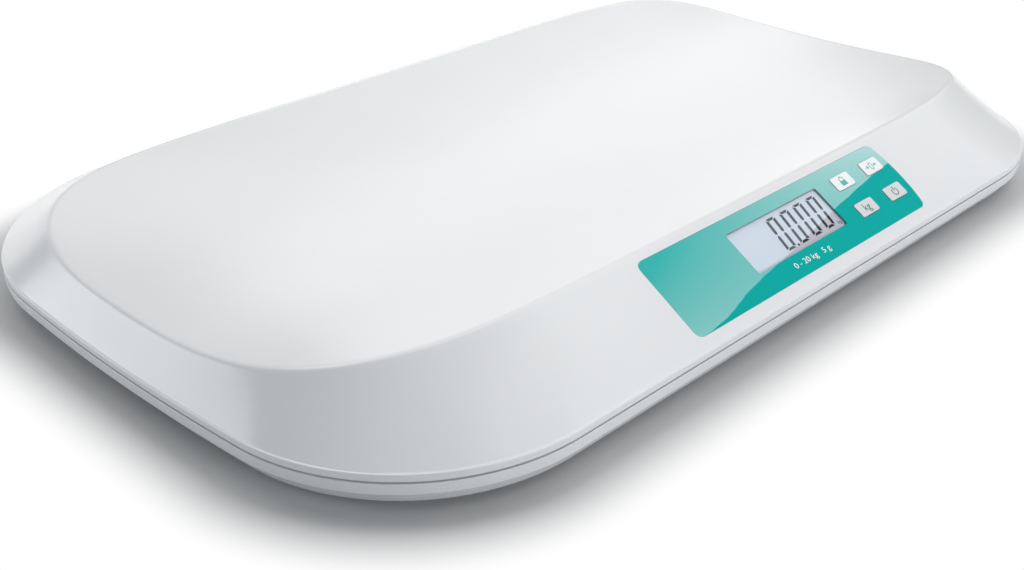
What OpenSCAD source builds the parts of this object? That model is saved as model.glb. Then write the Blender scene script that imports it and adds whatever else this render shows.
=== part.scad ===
// Baby weighing scale: a shallow tray on a flat base, with a sloping front panel that
// carries the display and four keys, four load cells over four feet, and a battery bay.
// X runs along the tray, the display faces -Y, +Z is up, and the floor is z = 0.

/* [Case] */
// Length of the scale, end to end
case_l = 550; // [520:1:580]
// Depth of the scale, front to back
case_d = 370; // [350:1:400]
// Plan radius of the two front corners
corner_r = 98; // [88:1:108]
// Plan radius of the two back corners
corner_back = 117; // [108:1:123]
// Plan radius of the bowed short ends
end_r = 1230; // [900:10:2400]
// Wall thickness of the two mouldings
wall = 2.6; // [2.2:0.1:3]
// Height of the parting line above the floor
seam_z = 16; // [15.5:0.1:18]
// Width of the gap at the parting line
seam_gap = 0.6; // [0.4:0.1:0.9]
// Height of the upper case's upright band
band_up = 3.9; // [3.4:0.1:4.6]
// Height of the base's upright band
band_down = 5.6; // [4.8:0.1:6.2]
// How far the crease above the band steps in
crease_in = 1; // [0.6:0.1:1.6]
// Height of the base's flat underside above the floor
base_z = 4; // [3.5:0.1:4.6]
// How far the underside draws in below the band
base_in = 5.5; // [4:0.5:7]

/* [Tray] */
// Width of the sloping skirt at the middle of the short ends
skirt_end = 13; // [11:0.5:16]
// Width of the sloping apron along the front
skirt_front = 48; // [47:0.5:51]
// Width of the sloping apron along the back
skirt_back = 59; // [52:0.5:64]
// Height of the tray's long edges above the parting line
edge_side = 32.7; // [32:0.1:35]
// Height of the tray's short edges above the parting line, at mid width
edge_end = 20.5; // [19:0.1:23]
// Height of the tray's lowest point above the parting line
tray_low = 14; // [13.5:0.1:16]
// Squareness of the tray's plan along its length, 2 for an ellipse
tray_nx = 7.5; // [6:0.1:9]
// Squareness of the tray's plan across its depth, 2 for an ellipse
tray_ny = 3.2; // [2.8:0.1:4]
// How late the short edges rise towards the long ones
rise_late = 1.3; // [0.8:0.1:1.5]
// Steepness of the dish towards its edge
dish_p = 2.4; // [2:0.1:3]
// Length of the softened edge on each side of the tray's rim
edge_f = 2.4; // [1:0.1:3]

/* [Front panel] */
// Offset of the panel's centre from the scale's middle
label_x = 3.5; // [-20:0.5:20]
// Height of the panel's centre up the apron, from the lower crease
label_up = 27.9; // [27:0.1:28.5]
// Width of the printed film
label_w = 189.6; // [186:0.1:196]
// Height of the printed film
label_h = 43.8; // [42:0.1:45]
// Thickness of the printed film
film_t = 0.4; // [0.3:0.05:0.6]
// Bulge of the film's right edge
label_bow = 3; // [1:0.1:5]
// Corner radius of the film
label_r = 4; // [2:0.1:6]
// Width of the display window
window_w = 74.1; // [70:0.1:76]
// Height of the display window
window_h = 24.5; // [22:0.1:25]
// Sideways offset of the display from the panel's centre
window_u = -0.5; // [-3:0.1:1]
// Offset of the display up the apron from the panel's centre
window_v = 2.2; // [1:0.1:2.6]
// Thickness of the clear display lens
lens_t = 0.6; // [0.5:0.1:0.8]
// Thickness of the case's ledge that the lens lies on
lens_ledge = 0.5; // [0.4:0.1:0.7]

/* [Keys] */
// Width of a key
key_w = 15.2; // [14:0.1:16]
// Height of a key
key_h = 8.2; // [7.5:0.1:9]
// Corner radius of a key
key_r = 1.3; // [0.8:0.1:2]
// How far a key stands proud of the film
key_proud = 0.45; // [0.3:0.05:0.8]
// Travel of a key
key_travel = 0.5; // [0.3:0.05:0.6]
// Gap around a key
key_gap = 0.3; // [0.25:0.05:0.4]
// Position of the left column of keys from the panel's centre
key_u = 56.9; // [56:0.1:58]
// Distance between the two columns of keys
key_pitch_u = 26.8; // [24:0.1:27]
// Position of the lower row of keys from the panel's centre
key_v = -7.6; // [-8.5:0.1:-7]
// Distance between the two rows of keys
key_pitch_v = 18.1; // [17.5:0.1:18.5]

/* [Board and display] */
// Thickness of the circuit board
board_t = 1.6; // [1:0.1:2]
// Distance from the apron's outer face to the board's near face
board_drop = 9; // [8.8:0.1:9.6]
// Thickness of the display glass
lcd_t = 2.8; // [2:0.1:3]
// Margin of the display glass around the window
lcd_margin = 3.6; // [3:0.1:4]
// Thickness of the foam seal over the display glass
seal_t = 0.4; // [0.3:0.1:0.7]
// Width of the display's holding frame
frame_w = 1.8; // [1.4:0.1:2]
// Gap between the display's raised front plate and the lens over it
plate_gap = 0.1; // [0.05:0.05:0.3]
// Gap around the raised front plate in the window
plate_side = 0.3; // [0.2:0.05:0.5]

/* [Batteries] */
// Diameter of a cell
cell_d = 14.2; // [13.8:0.1:14.5]
// Length of a cell with its contact nub
cell_l = 50.5; // [49.5:0.1:50.5]
// Distance between the axes of two cells
cell_pitch = 15.2; // [15:0.1:16]
// Space for the contacts at each end of the cells
contact_room = 3.6; // [3.2:0.1:4.4]
// Thickness of the battery door
door_t = 2; // [1.6:0.1:2.2]
// Gap around the battery door
door_gap = 0.4; // [0.3:0.05:0.6]

/* [Feet] */
// Distance of a foot's axis from the end of the scale
foot_in_x = 68; // [64:1:72]
// Distance of a foot's axis from the front or back of the scale
foot_in_y = 62; // [58:1:66]
// Diameter of a foot
foot_d = 37; // [34:0.5:38]
// Diameter of a rubber foot pad
pad_d = 32; // [26:0.5:33]
// Thickness of a rubber foot pad
pad_t = 2; // [1.5:0.1:2.5]
// Side of a load cell
load_w = 34; // [32:0.5:36]
// Thickness of a load cell
load_t = 2.5; // [2:0.1:3]

/* [Fasteners] */
// Diameter of a case screw
screw_d = 3; // [2.6:0.1:3.2]
// Diameter of a small screw
small_d = 2.2; // [2:0.1:2.4]
// Radial play of a screw in its own thread hole
thread_play = 0.05; // [0.03:0.01:0.1]

/* [Hidden] */

white = [0.95, 0.95, 0.96];
teal = [0.07, 0.68, 0.65];
half_l = case_l / 2;
half_d = case_d / 2;

// Plan outline of the case: straight long sides, bowed ends and corners of radius r
end_x = half_l - end_r;
function corner_y(r) = half_d - r;
function corner_x(r) = end_x + sqrt(pow(end_r - r, 2) - pow(corner_y(r), 2));
function corner_a(r) = atan2(corner_y(r), corner_x(r) - end_x);
side_steps = 6;
corner_steps = 10;
end_steps = 6;
// Directions of the plan's points in one quarter, from the end's middle to the side's
function quarter(r) = concat(
    [for (k = [0 : end_steps - 1])
        let (a = corner_a(r) * k / end_steps)
        atan2(end_r * sin(a), end_x + end_r * cos(a))],
    [for (k = [0 : corner_steps - 1])
        let (a = corner_a(r) + (90 - corner_a(r)) * k / corner_steps)
        atan2(corner_y(r) + r * sin(a), corner_x(r) + r * cos(a))],
    [for (k = [0 : side_steps - 1]) atan2(half_d, corner_x(r) * (1 - k / side_steps))]);
back = quarter(corner_back);
front = quarter(corner_r);
last = len(front) - 1;
turn = concat(
    back,
    [90],
    [for (k = [last : -1 : 1]) 180 - back[k]],
    [for (q = front) 180 + q],
    [270],
    [for (k = [last : -1 : 1]) 360 - front[k]]);
count = len(turn);

// Distance from the middle to the case's outline, drawn in by d, in direction a
function rim_rho(a, d) =
    let (r = sin(a) > 0 ? corner_back : corner_r, cx = corner_x(r), cy = corner_y(r))
    let (c = abs(cos(a)), s = max(abs(sin(a)), 1e-6))
    let (side = (half_d - d) / s)
    let (end_dot = end_x * c)
    let (end = end_dot + sqrt(pow(end_r - d, 2) - pow(end_x, 2) + pow(end_dot, 2)))
    let (dot = cx * c + cy * s)
    let (root = pow(r - d, 2) - pow(cx, 2) - pow(cy, 2) + pow(dot, 2))
    side * c <= cx ? side
        : end * s <= (end_r - d) * sin(corner_a(r)) ? end
        : dot + sqrt(max(root, 0));

// The tray's edge: a squared oval in plan that stands higher along the long sides
tray_a = half_l - skirt_end;
tray_front = half_d - skirt_front;
tray_back = half_d - skirt_back;
function tray_b(a) = sin(a) < 0 ? tray_front : tray_back;
// Newton steps towards the edge of the squared oval, from outside, for direction (c, s)
function reach(r, c, s, b, steps) =
    steps == 0 ? r
        : let (px = pow(r * c / tray_a, tray_nx), py = pow(r * s / b, tray_ny))
        reach(r - r * (px + py - 1) / (tray_nx * px + tray_ny * py), c, s, b, steps - 1);
function edge_rho(a) =
    let (c = max(abs(cos(a)), 1e-6), s = max(abs(sin(a)), 1e-6), b = tray_b(a))
    reach(min(tray_a / c, b / s), c, s, b, 8);
function edge_z(a) =
    let (w = pow(edge_rho(a) * sin(a) / tray_b(a), 2))
    let (rise = w * (2 - rise_late + (2 * rise_late - 1) * w - rise_late * w * w))
    seam_z + edge_end + (edge_side - edge_end) * rise;
function dish_z(a, t) =
    seam_z + tray_low + (edge_z(a) - seam_z - tray_low) * pow(t, dish_p);
crease_z = seam_z + band_up;
function crease_pt(a) = [rim_rho(a, crease_in), crease_z];
function edge_pt(a) = [edge_rho(a), edge_z(a)];
function unit(v) = v / norm(v);
function soft(a) = min(edge_f, norm(crease_pt(a) - edge_pt(a)) / 4);
function edge_out(a) = edge_pt(a) + soft(a) * unit(crease_pt(a) - edge_pt(a));
function edge_in(a) =
    let (t = 1 - soft(a) / edge_rho(a))
    [edge_rho(a) * t, dish_z(a, t)];
function edge_top(a) = (edge_out(a) + 2 * edge_pt(a) + edge_in(a)) / 4;
// Inner face of the sloping skirt, where it meets the inside of the band
function skirt_down(a) = unit(crease_pt(a) - edge_pt(a));
function skirt_under(a) = edge_pt(a) + wall * [skirt_down(a)[1], -skirt_down(a)[0]];
function skirt_foot(a) =
    let (r = rim_rho(a, wall))
    let (k = (r - skirt_under(a)[0]) / skirt_down(a)[0])
    [r, skirt_under(a)[1] + k * skirt_down(a)[1]];
// Height of the upper case's outer face over a point of the plan
function case_z(x, y) =
    let (a = atan2(y, x), r = norm([x, y]), e = edge_pt(a), c = crease_pt(a))
    r <= e[0] ? dish_z(a, r / e[0]) : e[1] + (c[1] - e[1]) * (r - e[0]) / (c[0] - e[0]);

function place(a, p) = [p[0] * cos(a), p[0] * sin(a), p[1]];
function rim_ring(d, z) = [for (a = turn) place(a, [rim_rho(a, d), z])];
function dish_ring(t, drop) = [for (a = turn) place(a, [edge_rho(a) * t, dish_z(a, t) - drop])];

dish_t = [0.2, 0.4, 0.58, 0.73, 0.85, 0.94];
under_t = [0.25, 0.5, 0.72, 0.88, 0.97];
tray_rings = len(dish_t);
seam_top = seam_z + seam_gap / 2;
seam_low = seam_z - seam_gap / 2;
floor_z = base_z + wall;
band_z = seam_z - band_down;

// The sloping apron's own frame: u along the scale, v up the slope, w outwards
apron_y = -(half_d - crease_in);
apron_tilt = atan2(edge_side - band_up, skirt_front - crease_in);
function apron_pt(u, v, w) = [
    label_x + u,
    apron_y + (label_up + v) * cos(apron_tilt) - w * sin(apron_tilt),
    crease_z + (label_up + v) * sin(apron_tilt) + w * cos(apron_tilt)];
module on_apron() {
    translate(apron_pt(0, 0, 0)) rotate([apron_tilt, 0, 0]) children();
}

// Keys, in the apron's frame
key_spots = [
    [key_u, key_v + key_pitch_v],
    [key_u + key_pitch_u, key_v + key_pitch_v],
    [key_u, key_v],
    [key_u + key_pitch_u, key_v]];
flange_side = 1.4;
flange_top = wall + 0.3;
flange_t = 1;
switch_w = 6;
switch_h = 3.5;
plunger_d = 3.2;
plunger_bore = 3.8;
plunger_lift = 0.6;
switch_top = board_drop - switch_h;
plunger_end = switch_top + 1.1;

// Display stack, in the apron's frame
lens_edge = 1.9;
fit_gap = 0.15;
lens_drop = film_t + lens_t;
ledge_low = lens_drop + lens_ledge;
lcd_top = ledge_low + seal_t;
lcd_low = lcd_top + lcd_t;
lcd_w = window_w + 2 * lcd_margin;
lcd_h = window_h + 2 * lcd_margin;
strip_w = 2.4;
screen_gap = 0.2;
pocket_side = 2 * (frame_w + screen_gap);

// Circuit board, in the apron's frame
board_left = -54;
board_right = 104;
board_low = -20;
board_high = 21;
board_back = board_drop + board_t;
post_d = 6.5;
post_inset = 4.4;
post_spots = [
    [board_left + post_inset, board_low + 3.6],
    [board_right - post_inset, board_low + 3.6],
    [board_left + post_inset, board_high - 3.6],
    [board_right - post_inset, board_high - 3.6]];
small_head_d = small_d * 2;
small_head_t = 1.3;

// Case screws stand in columns of the base and end in bosses of the upper case
column_d = 10.4;
column_top = seam_z + 2;
column_seat = base_z + 6;
sink_d = 7.4;
boss_d = 7.6;
head_d = 6.4;
head_t = 2.2;
grip = 8;
column_spots = [
    for (sx = [-1, 1], sy = [-1, 1]) [sx * (half_l - 105), sy * (half_d - 33)],
    for (sx = [-1, 1], sy = [-1, 1]) [sx * (half_l - 33), sy * 45],
    for (sx = [-1, 1]) [sx * 80, 0]];

// Battery bay in the middle of the base
bay_w = 4 * cell_pitch + 1.2;
bay_l = cell_l + 2 * contact_room;
bay_wall = 2;
cell_z = base_z + door_t + 0.5 + cell_d / 2;
bay_top = cell_z + cell_d / 2 + 0.8;
ledge = 3;
door_w = bay_w + 2 * ledge;
door_screw_y = bay_l / 2 + bay_wall + 5;
door_l = 2 * (door_screw_y + 4.5);
ledge_t = 2;
door_boss_d = 8;
door_boss_top = base_z + door_t + 8;
door_screw_play = 0.3;
door_sink = 1.2;
contact_t = 0.4;

// Feet and load cells
foot_names = ["fl", "fr", "bl", "br"];
foot_spots = [for (sy = [-1, 1], sx = [-1, 1])
    [sx * (half_l - foot_in_x), sy * (half_d - foot_in_y)]];
foot_gap = 1;
foot_t = 4.2;
foot_pin_d = 8;
load_z = pad_t + foot_t + 3.8;
holder_wall = 4.8;
holder_gap = 0.2;
holder_w = load_w + 2 * holder_wall;
holder_top = load_z + load_t + 2;
holder_lip = 4;
ear_out = 5;
ear_z = floor_z + 4;
ear_t = 2.4;
ear_d = 8;
ear_spots = [-(holder_w / 2 + ear_out), holder_w / 2 + ear_out];
lead_d = 2.6;
lead_notch = 4;
lead_off = -8;
lead_z = floor_z + lead_d / 2 + 0.1;

// A closed skin through rings of points, capped by a fan at each end
module loft(rings, first, close) {
    n = len(rings);
    base = [for (r = rings, p = r) p];
    points = concat([first], base, [close]);
    end = n * count + 1;
    faces = concat(
        [for (i = [0 : count - 1]) [0, 1 + i, 1 + (i + 1) % count]],
        [for (k = [0 : n - 2], i = [0 : count - 1])
            let (j = (i + 1) % count)
            [1 + k * count + i, 1 + (k + 1) * count + i, 1 + (k + 1) * count + j]],
        [for (k = [0 : n - 2], i = [0 : count - 1])
            let (j = (i + 1) % count)
            [1 + k * count + i, 1 + (k + 1) * count + j, 1 + k * count + j]],
        [for (i = [0 : count - 1])
            [end, 1 + (n - 1) * count + (i + 1) % count, 1 + (n - 1) * count + i]]);
    polyhedron(points, faces);
}

// Rectangle with round corners, centred
module round_rect(w, h, r) {
    square([w - 2 * r, h], center = true);
    square([w, h - 2 * r], center = true);
    for (sx = [-1, 1], sy = [-1, 1])
        translate([sx * (w / 2 - r), sy * (h / 2 - r)]) circle(r, $fn = 32);
}

function arc(cx, cy, r, a0, a1, steps) =
    [for (k = [0 : steps]) let (a = a0 + (a1 - a0) * k / steps) [cx + r * cos(a), cy + r * sin(a)]];

// Outline of the printed film, grown by g: straight left edge, bowed right edge
module film_outline(g) {
    h = label_h / 2 + g;
    r = label_r + g;
    bow_r = (pow(label_h / 2, 2) + pow(label_bow, 2)) / (2 * label_bow) + g;
    bow_u = label_w / 2 + label_bow - bow_r + g;
    turn_v = h - r;
    turn_u = bow_u + sqrt(pow(bow_r - r, 2) - pow(turn_v, 2));
    meet = atan2(turn_v, turn_u - bow_u);
    left_u = -label_w / 2 - g + r;
    polygon(concat(
        arc(turn_u, -turn_v, r, -90, -meet, 6),
        arc(bow_u, 0, bow_r, -meet, meet, 12),
        arc(turn_u, turn_v, r, meet, 90, 6),
        arc(left_u, turn_v, r, 90, 180, 8),
        arc(left_u, -turn_v, r, 180, 270, 8)));
}

// A block in the apron's frame, from depth low to depth high below its outer face
module below(high, low) {
    translate([0, 0, -low]) linear_extrude(low - high) children();
}

// Directions square to each stretch of a route, carried along it without twist
function carry(along, side, k = 0) =
    k == len(along) ? []
        : let (n = unit(side - (side * along[k]) * along[k]))
        concat([n], carry(along, n, k + 1));

// A wire bundle along a route, as one tube
module lead(route) {
    sides = 8;
    end = len(route) - 1;
    steps = [for (k = [0 : end - 1]) unit(route[k + 1] - route[k])];
    along = [for (k = [0 : end])
        k == 0 ? steps[0] : k == end ? steps[end - 1] : unit(steps[k - 1] + steps[k])];
    across = carry(along, [0.3, 0.9, 0.2]);
    points = [for (k = [0 : end], i = [0 : sides - 1])
        let (a = 360 * i / sides)
        route[k] + lead_d / 2 * (cos(a) * across[k] + sin(a) * cross(along[k], across[k]))];
    faces = concat(
        [[for (i = [0 : sides - 1]) i]],
        [for (k = [0 : end - 1], i = [0 : sides - 1])
            let (j = (i + 1) % sides)
            [k * sides + i, (k + 1) * sides + i, (k + 1) * sides + j]],
        [for (k = [0 : end - 1], i = [0 : sides - 1])
            let (j = (i + 1) % sides)
            [k * sides + i, (k + 1) * sides + j, k * sides + j]],
        [[for (i = [sides - 1 : -1 : 0]) end * sides + i]]);
    polyhedron(points, faces);
}

// A screw boss under the upper case, cut to the slope inside its skin
module boss(p) {
    top = case_z(p[0], p[1]) - wall / 2;
    slope = [
        case_z(p[0] + 1, p[1]) - case_z(p[0] - 1, p[1]),
        case_z(p[0], p[1] + 1) - case_z(p[0], p[1] - 1)] / 2;
    difference() {
        translate([p[0], p[1], column_top])
            cylinder(h = top + boss_d - column_top, d = boss_d, $fn = 48);
        translate([p[0], p[1], top])
            rotate(atan(norm(slope)), [slope[1], -slope[0], 0])
                translate([-boss_d, -boss_d, 0]) cube(2 * boss_d);
    }
}

// A rib under the tray, along the line through q in direction d
module tray_rib(q, d, reach) {
    rib_t = 1.8;
    rib_low = seam_z + 7.5;
    steps = 16;
    top = [for (k = [0 : steps])
        let (s = -reach + 2 * reach * k / steps)
        [s, case_z(q[0] + s * d[0], q[1] + s * d[1]) - wall / 2]];
    translate([q[0], q[1], 0])
        rotate([90, 0, atan2(d[1], d[0])])
            translate([0, 0, -rib_t / 2])
                linear_extrude(rib_t)
                    polygon(concat([[-reach, rib_low]], top, [[reach, rib_low]]));
}

module upper_skin() {
    loft(
        concat(
            [for (t = under_t) dish_ring(t, wall)],
            [[for (a = turn) place(a, skirt_under(a))]],
            [[for (a = turn) place(a, skirt_foot(a))]],
            [rim_ring(wall, seam_top)],
            [rim_ring(0, seam_top)],
            [rim_ring(0, crease_z - 0.5)],
            [rim_ring(crease_in * 0.35, crease_z - 0.1)],
            [[for (a = turn) place(a, crease_pt(a))]],
            [[for (a = turn) place(a, edge_out(a))]],
            [[for (a = turn) place(a, edge_top(a))]],
            [[for (a = turn) place(a, edge_in(a))]],
            [for (k = [tray_rings - 1 : -1 : 0]) dish_ring(dish_t[k], 0)]),
        [0, 0, seam_z + tray_low - wall],
        [0, 0, seam_z + tray_low]);
}

module upper_case() {
    color(white)
    difference() {
        union() {
            upper_skin();
            for (p = column_spots) boss(p);
            on_apron() for (p = post_spots)
                translate([p[0], p[1], -board_drop])
                    cylinder(h = board_drop - wall / 2, d = post_d, $fn = 40);
            for (s = [-1, 1]) {
                tray_rib([0, s * 62], [1, 0], 185);
                tray_rib([s * 130, -4], [0, 1], 92);
            }
        }
        for (p = column_spots)
            translate([p[0], p[1], column_top - 1])
                cylinder(h = grip + 2, r = screw_d / 2 + thread_play, $fn = 32);
        on_apron() {
            for (p = post_spots)
                translate([p[0], p[1], -board_drop - 1])
                    cylinder(h = 6, r = small_d / 2 + thread_play, $fn = 24);
            below(-1, film_t) film_outline(fit_gap);
            translate([window_u, window_v]) {
                below(-1, lens_drop)
                    round_rect(window_w + 2 * lens_edge, window_h + 2 * lens_edge, 1.5);
                below(-1, wall + 3) round_rect(window_w, window_h, 1.5);
                below(ledge_low, wall + 3)
                    square([lcd_w + pocket_side, lcd_h + pocket_side], center = true);
            }
            for (p = key_spots) translate(p)
                below(-1, wall + 3) round_rect(key_w + 2 * key_gap, key_h + 2 * key_gap, key_r + key_gap);
        }
    }
}

module base_skin() {
    tongue = 2.3;
    play = 0.3;
    tongue_top = seam_z + 1.2;
    inner = wall + tongue;
    loft(
        [
            rim_ring(base_in, base_z),
            rim_ring(1, band_z),
            rim_ring(0, band_z + 0.6),
            rim_ring(0, seam_low),
            rim_ring(wall + play, seam_low),
            rim_ring(wall + play, tongue_top),
            rim_ring(inner, tongue_top),
            rim_ring(inner, band_z + 1),
            rim_ring(base_in + wall * 0.8, floor_z)
        ],
        [0, 0, base_z],
        [0, 0, floor_z]);
}

module bay_box() {
    low = base_z + door_t;
    translate([-bay_w / 2 - bay_wall, -bay_l / 2 - bay_wall, low])
        cube([bay_w + 2 * bay_wall, bay_l + 2 * bay_wall, bay_top + bay_wall - low]);
    translate([-door_w / 2 - ledge, -door_l / 2 - ledge, low])
        cube([door_w + 2 * ledge, door_l + 2 * ledge, ledge_t]);
    for (s = [-1, 1]) translate([0, s * door_screw_y, low])
        cylinder(h = door_boss_top - low, d = door_boss_d, $fn = 40);
}

module base_case() {
    color(white * 0.97)
    difference() {
        union() {
            base_skin();
            bay_box();
            for (p = column_spots) translate([p[0], p[1], base_z + 0.5])
                cylinder(h = column_top - base_z - 0.5, d = column_d, $fn = 48);
            for (p = foot_spots, e = ear_spots) translate([p[0] + e, p[1], base_z + 0.5])
                cylinder(h = ear_z - base_z - 0.5, d = ear_d - 1, $fn = 40);
        }
        for (p = column_spots) translate([p[0], p[1], 0]) {
            cylinder(h = column_seat, d = sink_d, $fn = 40);
            cylinder(h = column_top + 1, r = screw_d / 2 + 0.2, $fn = 32);
        }
        for (p = foot_spots) {
            translate([p[0], p[1], base_z - 1])
                cylinder(h = wall + 2, d = foot_d + 2 * foot_gap, $fn = 64);
            for (e = ear_spots) translate([p[0] + e, p[1], base_z + 1.2])
                cylinder(h = 20, r = small_d / 2 + thread_play, $fn = 24);
        }
        translate([-bay_w / 2, -bay_l / 2, base_z - 1])
            cube([bay_w, bay_l, bay_top - base_z + 1]);
        translate([-door_w / 2 - door_gap, -door_l / 2 - door_gap, base_z - 1])
            cube([door_w + 2 * door_gap, door_l + 2 * door_gap, door_t + 1]);
        for (s = [-1, 1]) translate([0, s * door_screw_y, base_z])
            cylinder(h = door_boss_top - base_z - 1, r = screw_d / 2 + door_screw_play, $fn = 32);
    }
}

module panel_film() {
    color(teal)
    on_apron() below(0, film_t) difference() {
        film_outline(0);
        translate([window_u, window_v]) round_rect(window_w, window_h, 1.5);
        for (p = key_spots) translate(p)
            round_rect(key_w + 2 * key_gap, key_h + 2 * key_gap, key_r + key_gap);
    }
}

module on_window() {
    on_apron() translate([window_u, window_v]) children();
}

module display_lens() {
    side = 2 * (lens_edge - fit_gap);
    color([0.8, 0.85, 0.9, 0.4])
    on_window() below(film_t, lens_drop) round_rect(window_w + side, window_h + side, 1.4);
}

module display_seal() {
    color([0.15, 0.15, 0.15])
    on_window() below(ledge_low, lcd_top) difference() {
        square([lcd_w, lcd_h], center = true);
        square([window_w + 1.6, window_h + 1.6], center = true);
    }
}

module display_glass() {
    color([0.8, 0.83, 0.88])
    on_window() {
        below(lens_drop + plate_gap, lcd_top)
            round_rect(window_w - 2 * plate_side, window_h - 2 * plate_side, 1.2);
        below(lcd_top, (lcd_top + lcd_low) / 2) square([lcd_w, lcd_h], center = true);
        below((lcd_top + lcd_low) / 2, lcd_low)
            square([lcd_w - 1, lcd_h - 1], center = true);
    }
}

module display_frame() {
    color([0.85, 0.85, 0.82])
    on_window() below(lcd_top, board_drop) difference() {
        square([lcd_w + 2 * frame_w, lcd_h + 2 * frame_w], center = true);
        square([lcd_w + 2 * screen_gap, lcd_h + 2 * screen_gap], center = true);
    }
}

module elastomer_strip() {
    color([0.9, 0.5, 0.6])
    on_window() below(lcd_low, board_drop)
        translate([0, -lcd_h / 2 + strip_w]) square([window_w, strip_w], center = true);
}

module circuit_board() {
    mid_u = (board_left + board_right) / 2;
    mid_v = (board_low + board_high) / 2;
    color([0.1, 0.45, 0.25])
    on_apron() below(board_drop, board_back) difference() {
        translate([mid_u, mid_v])
            square([board_right - board_left, board_high - board_low], center = true);
        for (p = post_spots) translate(p) circle(small_d / 2 + 0.3, $fn = 24);
    }
}

module controller_chip() {
    blob_d = 15;
    blob_top_d = 9;
    blob_t = 0.8;
    color([0.05, 0.05, 0.06])
    on_apron() translate([0, 2, -board_back]) rotate([180, 0, 0]) {
        cylinder(h = blob_t, d = blob_d, $fn = 48);
        translate([0, 0, blob_t]) cylinder(h = blob_t, d1 = blob_d, d2 = blob_top_d, $fn = 48);
    }
}

module board_parts() {
    capacitor_d = 5;
    capacitor_h = 7;
    crystal = [10, 4, 3];
    resistor = [3, 1.6, 0.8];
    resistor_pitch = 5;
    on_apron() translate([0, 0, -board_back]) rotate([180, 0, 0]) {
        color([0.1, 0.15, 0.4]) for (u = [26, 34]) translate([u, -6, 0])
            cylinder(h = capacitor_h, d = capacitor_d, $fn = 32);
        color([0.8, 0.8, 0.8]) translate([14, -8, 0]) cube(crystal);
        color([0.1, 0.1, 0.1]) for (k = [0 : 4]) translate([44 + resistor_pitch * k, 4, 0])
            cube(resistor);
    }
}

socket_w = 6;
socket_pitch = 9;
socket_v = -9;
socket_deep = 5;
socket_h = 4.5;
socket_us = [for (k = [0 : 4]) -38 + socket_pitch * k];
module lead_sockets() {
    color([0.93, 0.92, 0.88])
    on_apron() for (u = socket_us)
        translate([u - socket_w / 2, socket_v - socket_deep / 2, -board_back - socket_h])
            cube([socket_w, socket_deep, socket_h]);
}

module board_screws() {
    color([0.7, 0.7, 0.72])
    on_apron() for (p = post_spots) translate([p[0], p[1], -board_back]) {
        cylinder(h = board_t + 4, d = small_d, $fn = 24);
        translate([0, 0, -small_head_t]) cylinder(h = small_head_t, d = small_head_d, $fn = 24);
    }
}

module key_switches() {
    color([0.12, 0.12, 0.12])
    on_apron() for (p = key_spots) translate([p[0], p[1], -board_drop]) difference() {
        translate([-switch_w / 2, -switch_w / 2, 0]) cube([switch_w, switch_w, switch_h]);
        translate([0, 0, board_drop - plunger_end - key_travel - 0.2])
            cylinder(h = switch_h, d = plunger_bore, $fn = 32);
    }
}

module plunger(k) {
    p = key_spots[k];
    color([0.85, 0.85, 0.8])
    on_apron() translate([p[0], p[1], -plunger_end])
        cylinder(h = plunger_end - switch_top + plunger_lift, d = plunger_d, $fn = 32);
}

module key(k) {
    color([0.93, 0.94, 0.94])
    on_apron() translate(key_spots[k]) {
        below(-key_proud, flange_top) round_rect(key_w, key_h, key_r);
        below(flange_top, flange_top + flange_t)
            round_rect(key_w + 2 * flange_side, key_h + 2 * flange_side, key_r);
        below(flange_top + flange_t, switch_top - plunger_lift) circle(2.2, $fn = 32);
    }
}

module battery_door() {
    color(white * 0.95)
    difference() {
        translate([-door_w / 2, -door_l / 2, base_z]) cube([door_w, door_l, door_t]);
        for (s = [-1, 1]) translate([0, s * door_screw_y, base_z - 1]) {
            cylinder(h = door_t + 2, r = screw_d / 2 + 0.1, $fn = 32);
            cylinder(h = 1 + door_sink, d = head_d + 0.4, $fn = 40);
        }
        for (k = [0 : 4]) translate([-8, 8 + 2.4 * k, base_z - 1]) cube([16, 1.2, 1.4]);
    }
}

module door_screws() {
    color([0.6, 0.6, 0.62])
    for (s = [-1, 1]) translate([0, s * door_screw_y, 0]) {
        translate([0, 0, base_z + 0.2]) cylinder(h = door_sink - 0.2, d = head_d, $fn = 40);
        translate([0, 0, base_z + door_sink])
            cylinder(h = door_t - door_sink + 5.5, d = screw_d, $fn = 32);
    }
}

// A cell lies along Y; its nub points to +Y, and to -Y on every second one
module cell(k) {
    nub = 1.3;
    flip = k % 2 == 0 ? 0 : 180;
    color([0.3, 0.3, 0.33])
    translate([(k - 1.5) * cell_pitch, 0, cell_z]) rotate([-90, 0, flip])
        translate([0, 0, -cell_l / 2]) {
            cylinder(h = cell_l - nub, d = cell_d, $fn = 64);
            translate([0, 0, cell_l - nub]) cylinder(h = nub, d = 5.2, $fn = 32);
        }
}

// The negative end of each cell meets a bent leaf, the positive end a flat plate
module at_contacts(negative) {
    for (k = [0 : 3]) {
        end = (k % 2 == 0) == negative ? -1 : 1;
        translate([(k - 1.5) * cell_pitch, end * bay_l / 2, cell_z])
            rotate([0, 0, end < 0 ? 0 : 180])
                children();
    }
}

module contact_springs() {
    w = 8;
    reach = contact_room - 0.2;
    color([0.8, 0.8, 0.78])
    at_contacts(true) {
        translate([-w / 2, 0, -5]) cube([w, contact_t, 11]);
        translate([-w / 2, 0, 0]) rotate([90, 0, 90]) linear_extrude(w)
            polygon([[0, -5], [0, -4.4], [reach - contact_t, 0], [0, 4.4], [0, 5], [reach, 0]]);
    }
}

module contact_plates() {
    w = 10;
    color([0.8, 0.8, 0.78])
    at_contacts(false) {
        translate([-w / 2, 0, -5]) cube([w, contact_t, 10]);
        translate([0, contact_t, 0]) rotate([-90, 0, 0])
            cylinder(h = contact_room - 0.3 - contact_t, d = 4, $fn = 32);
    }
}

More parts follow.
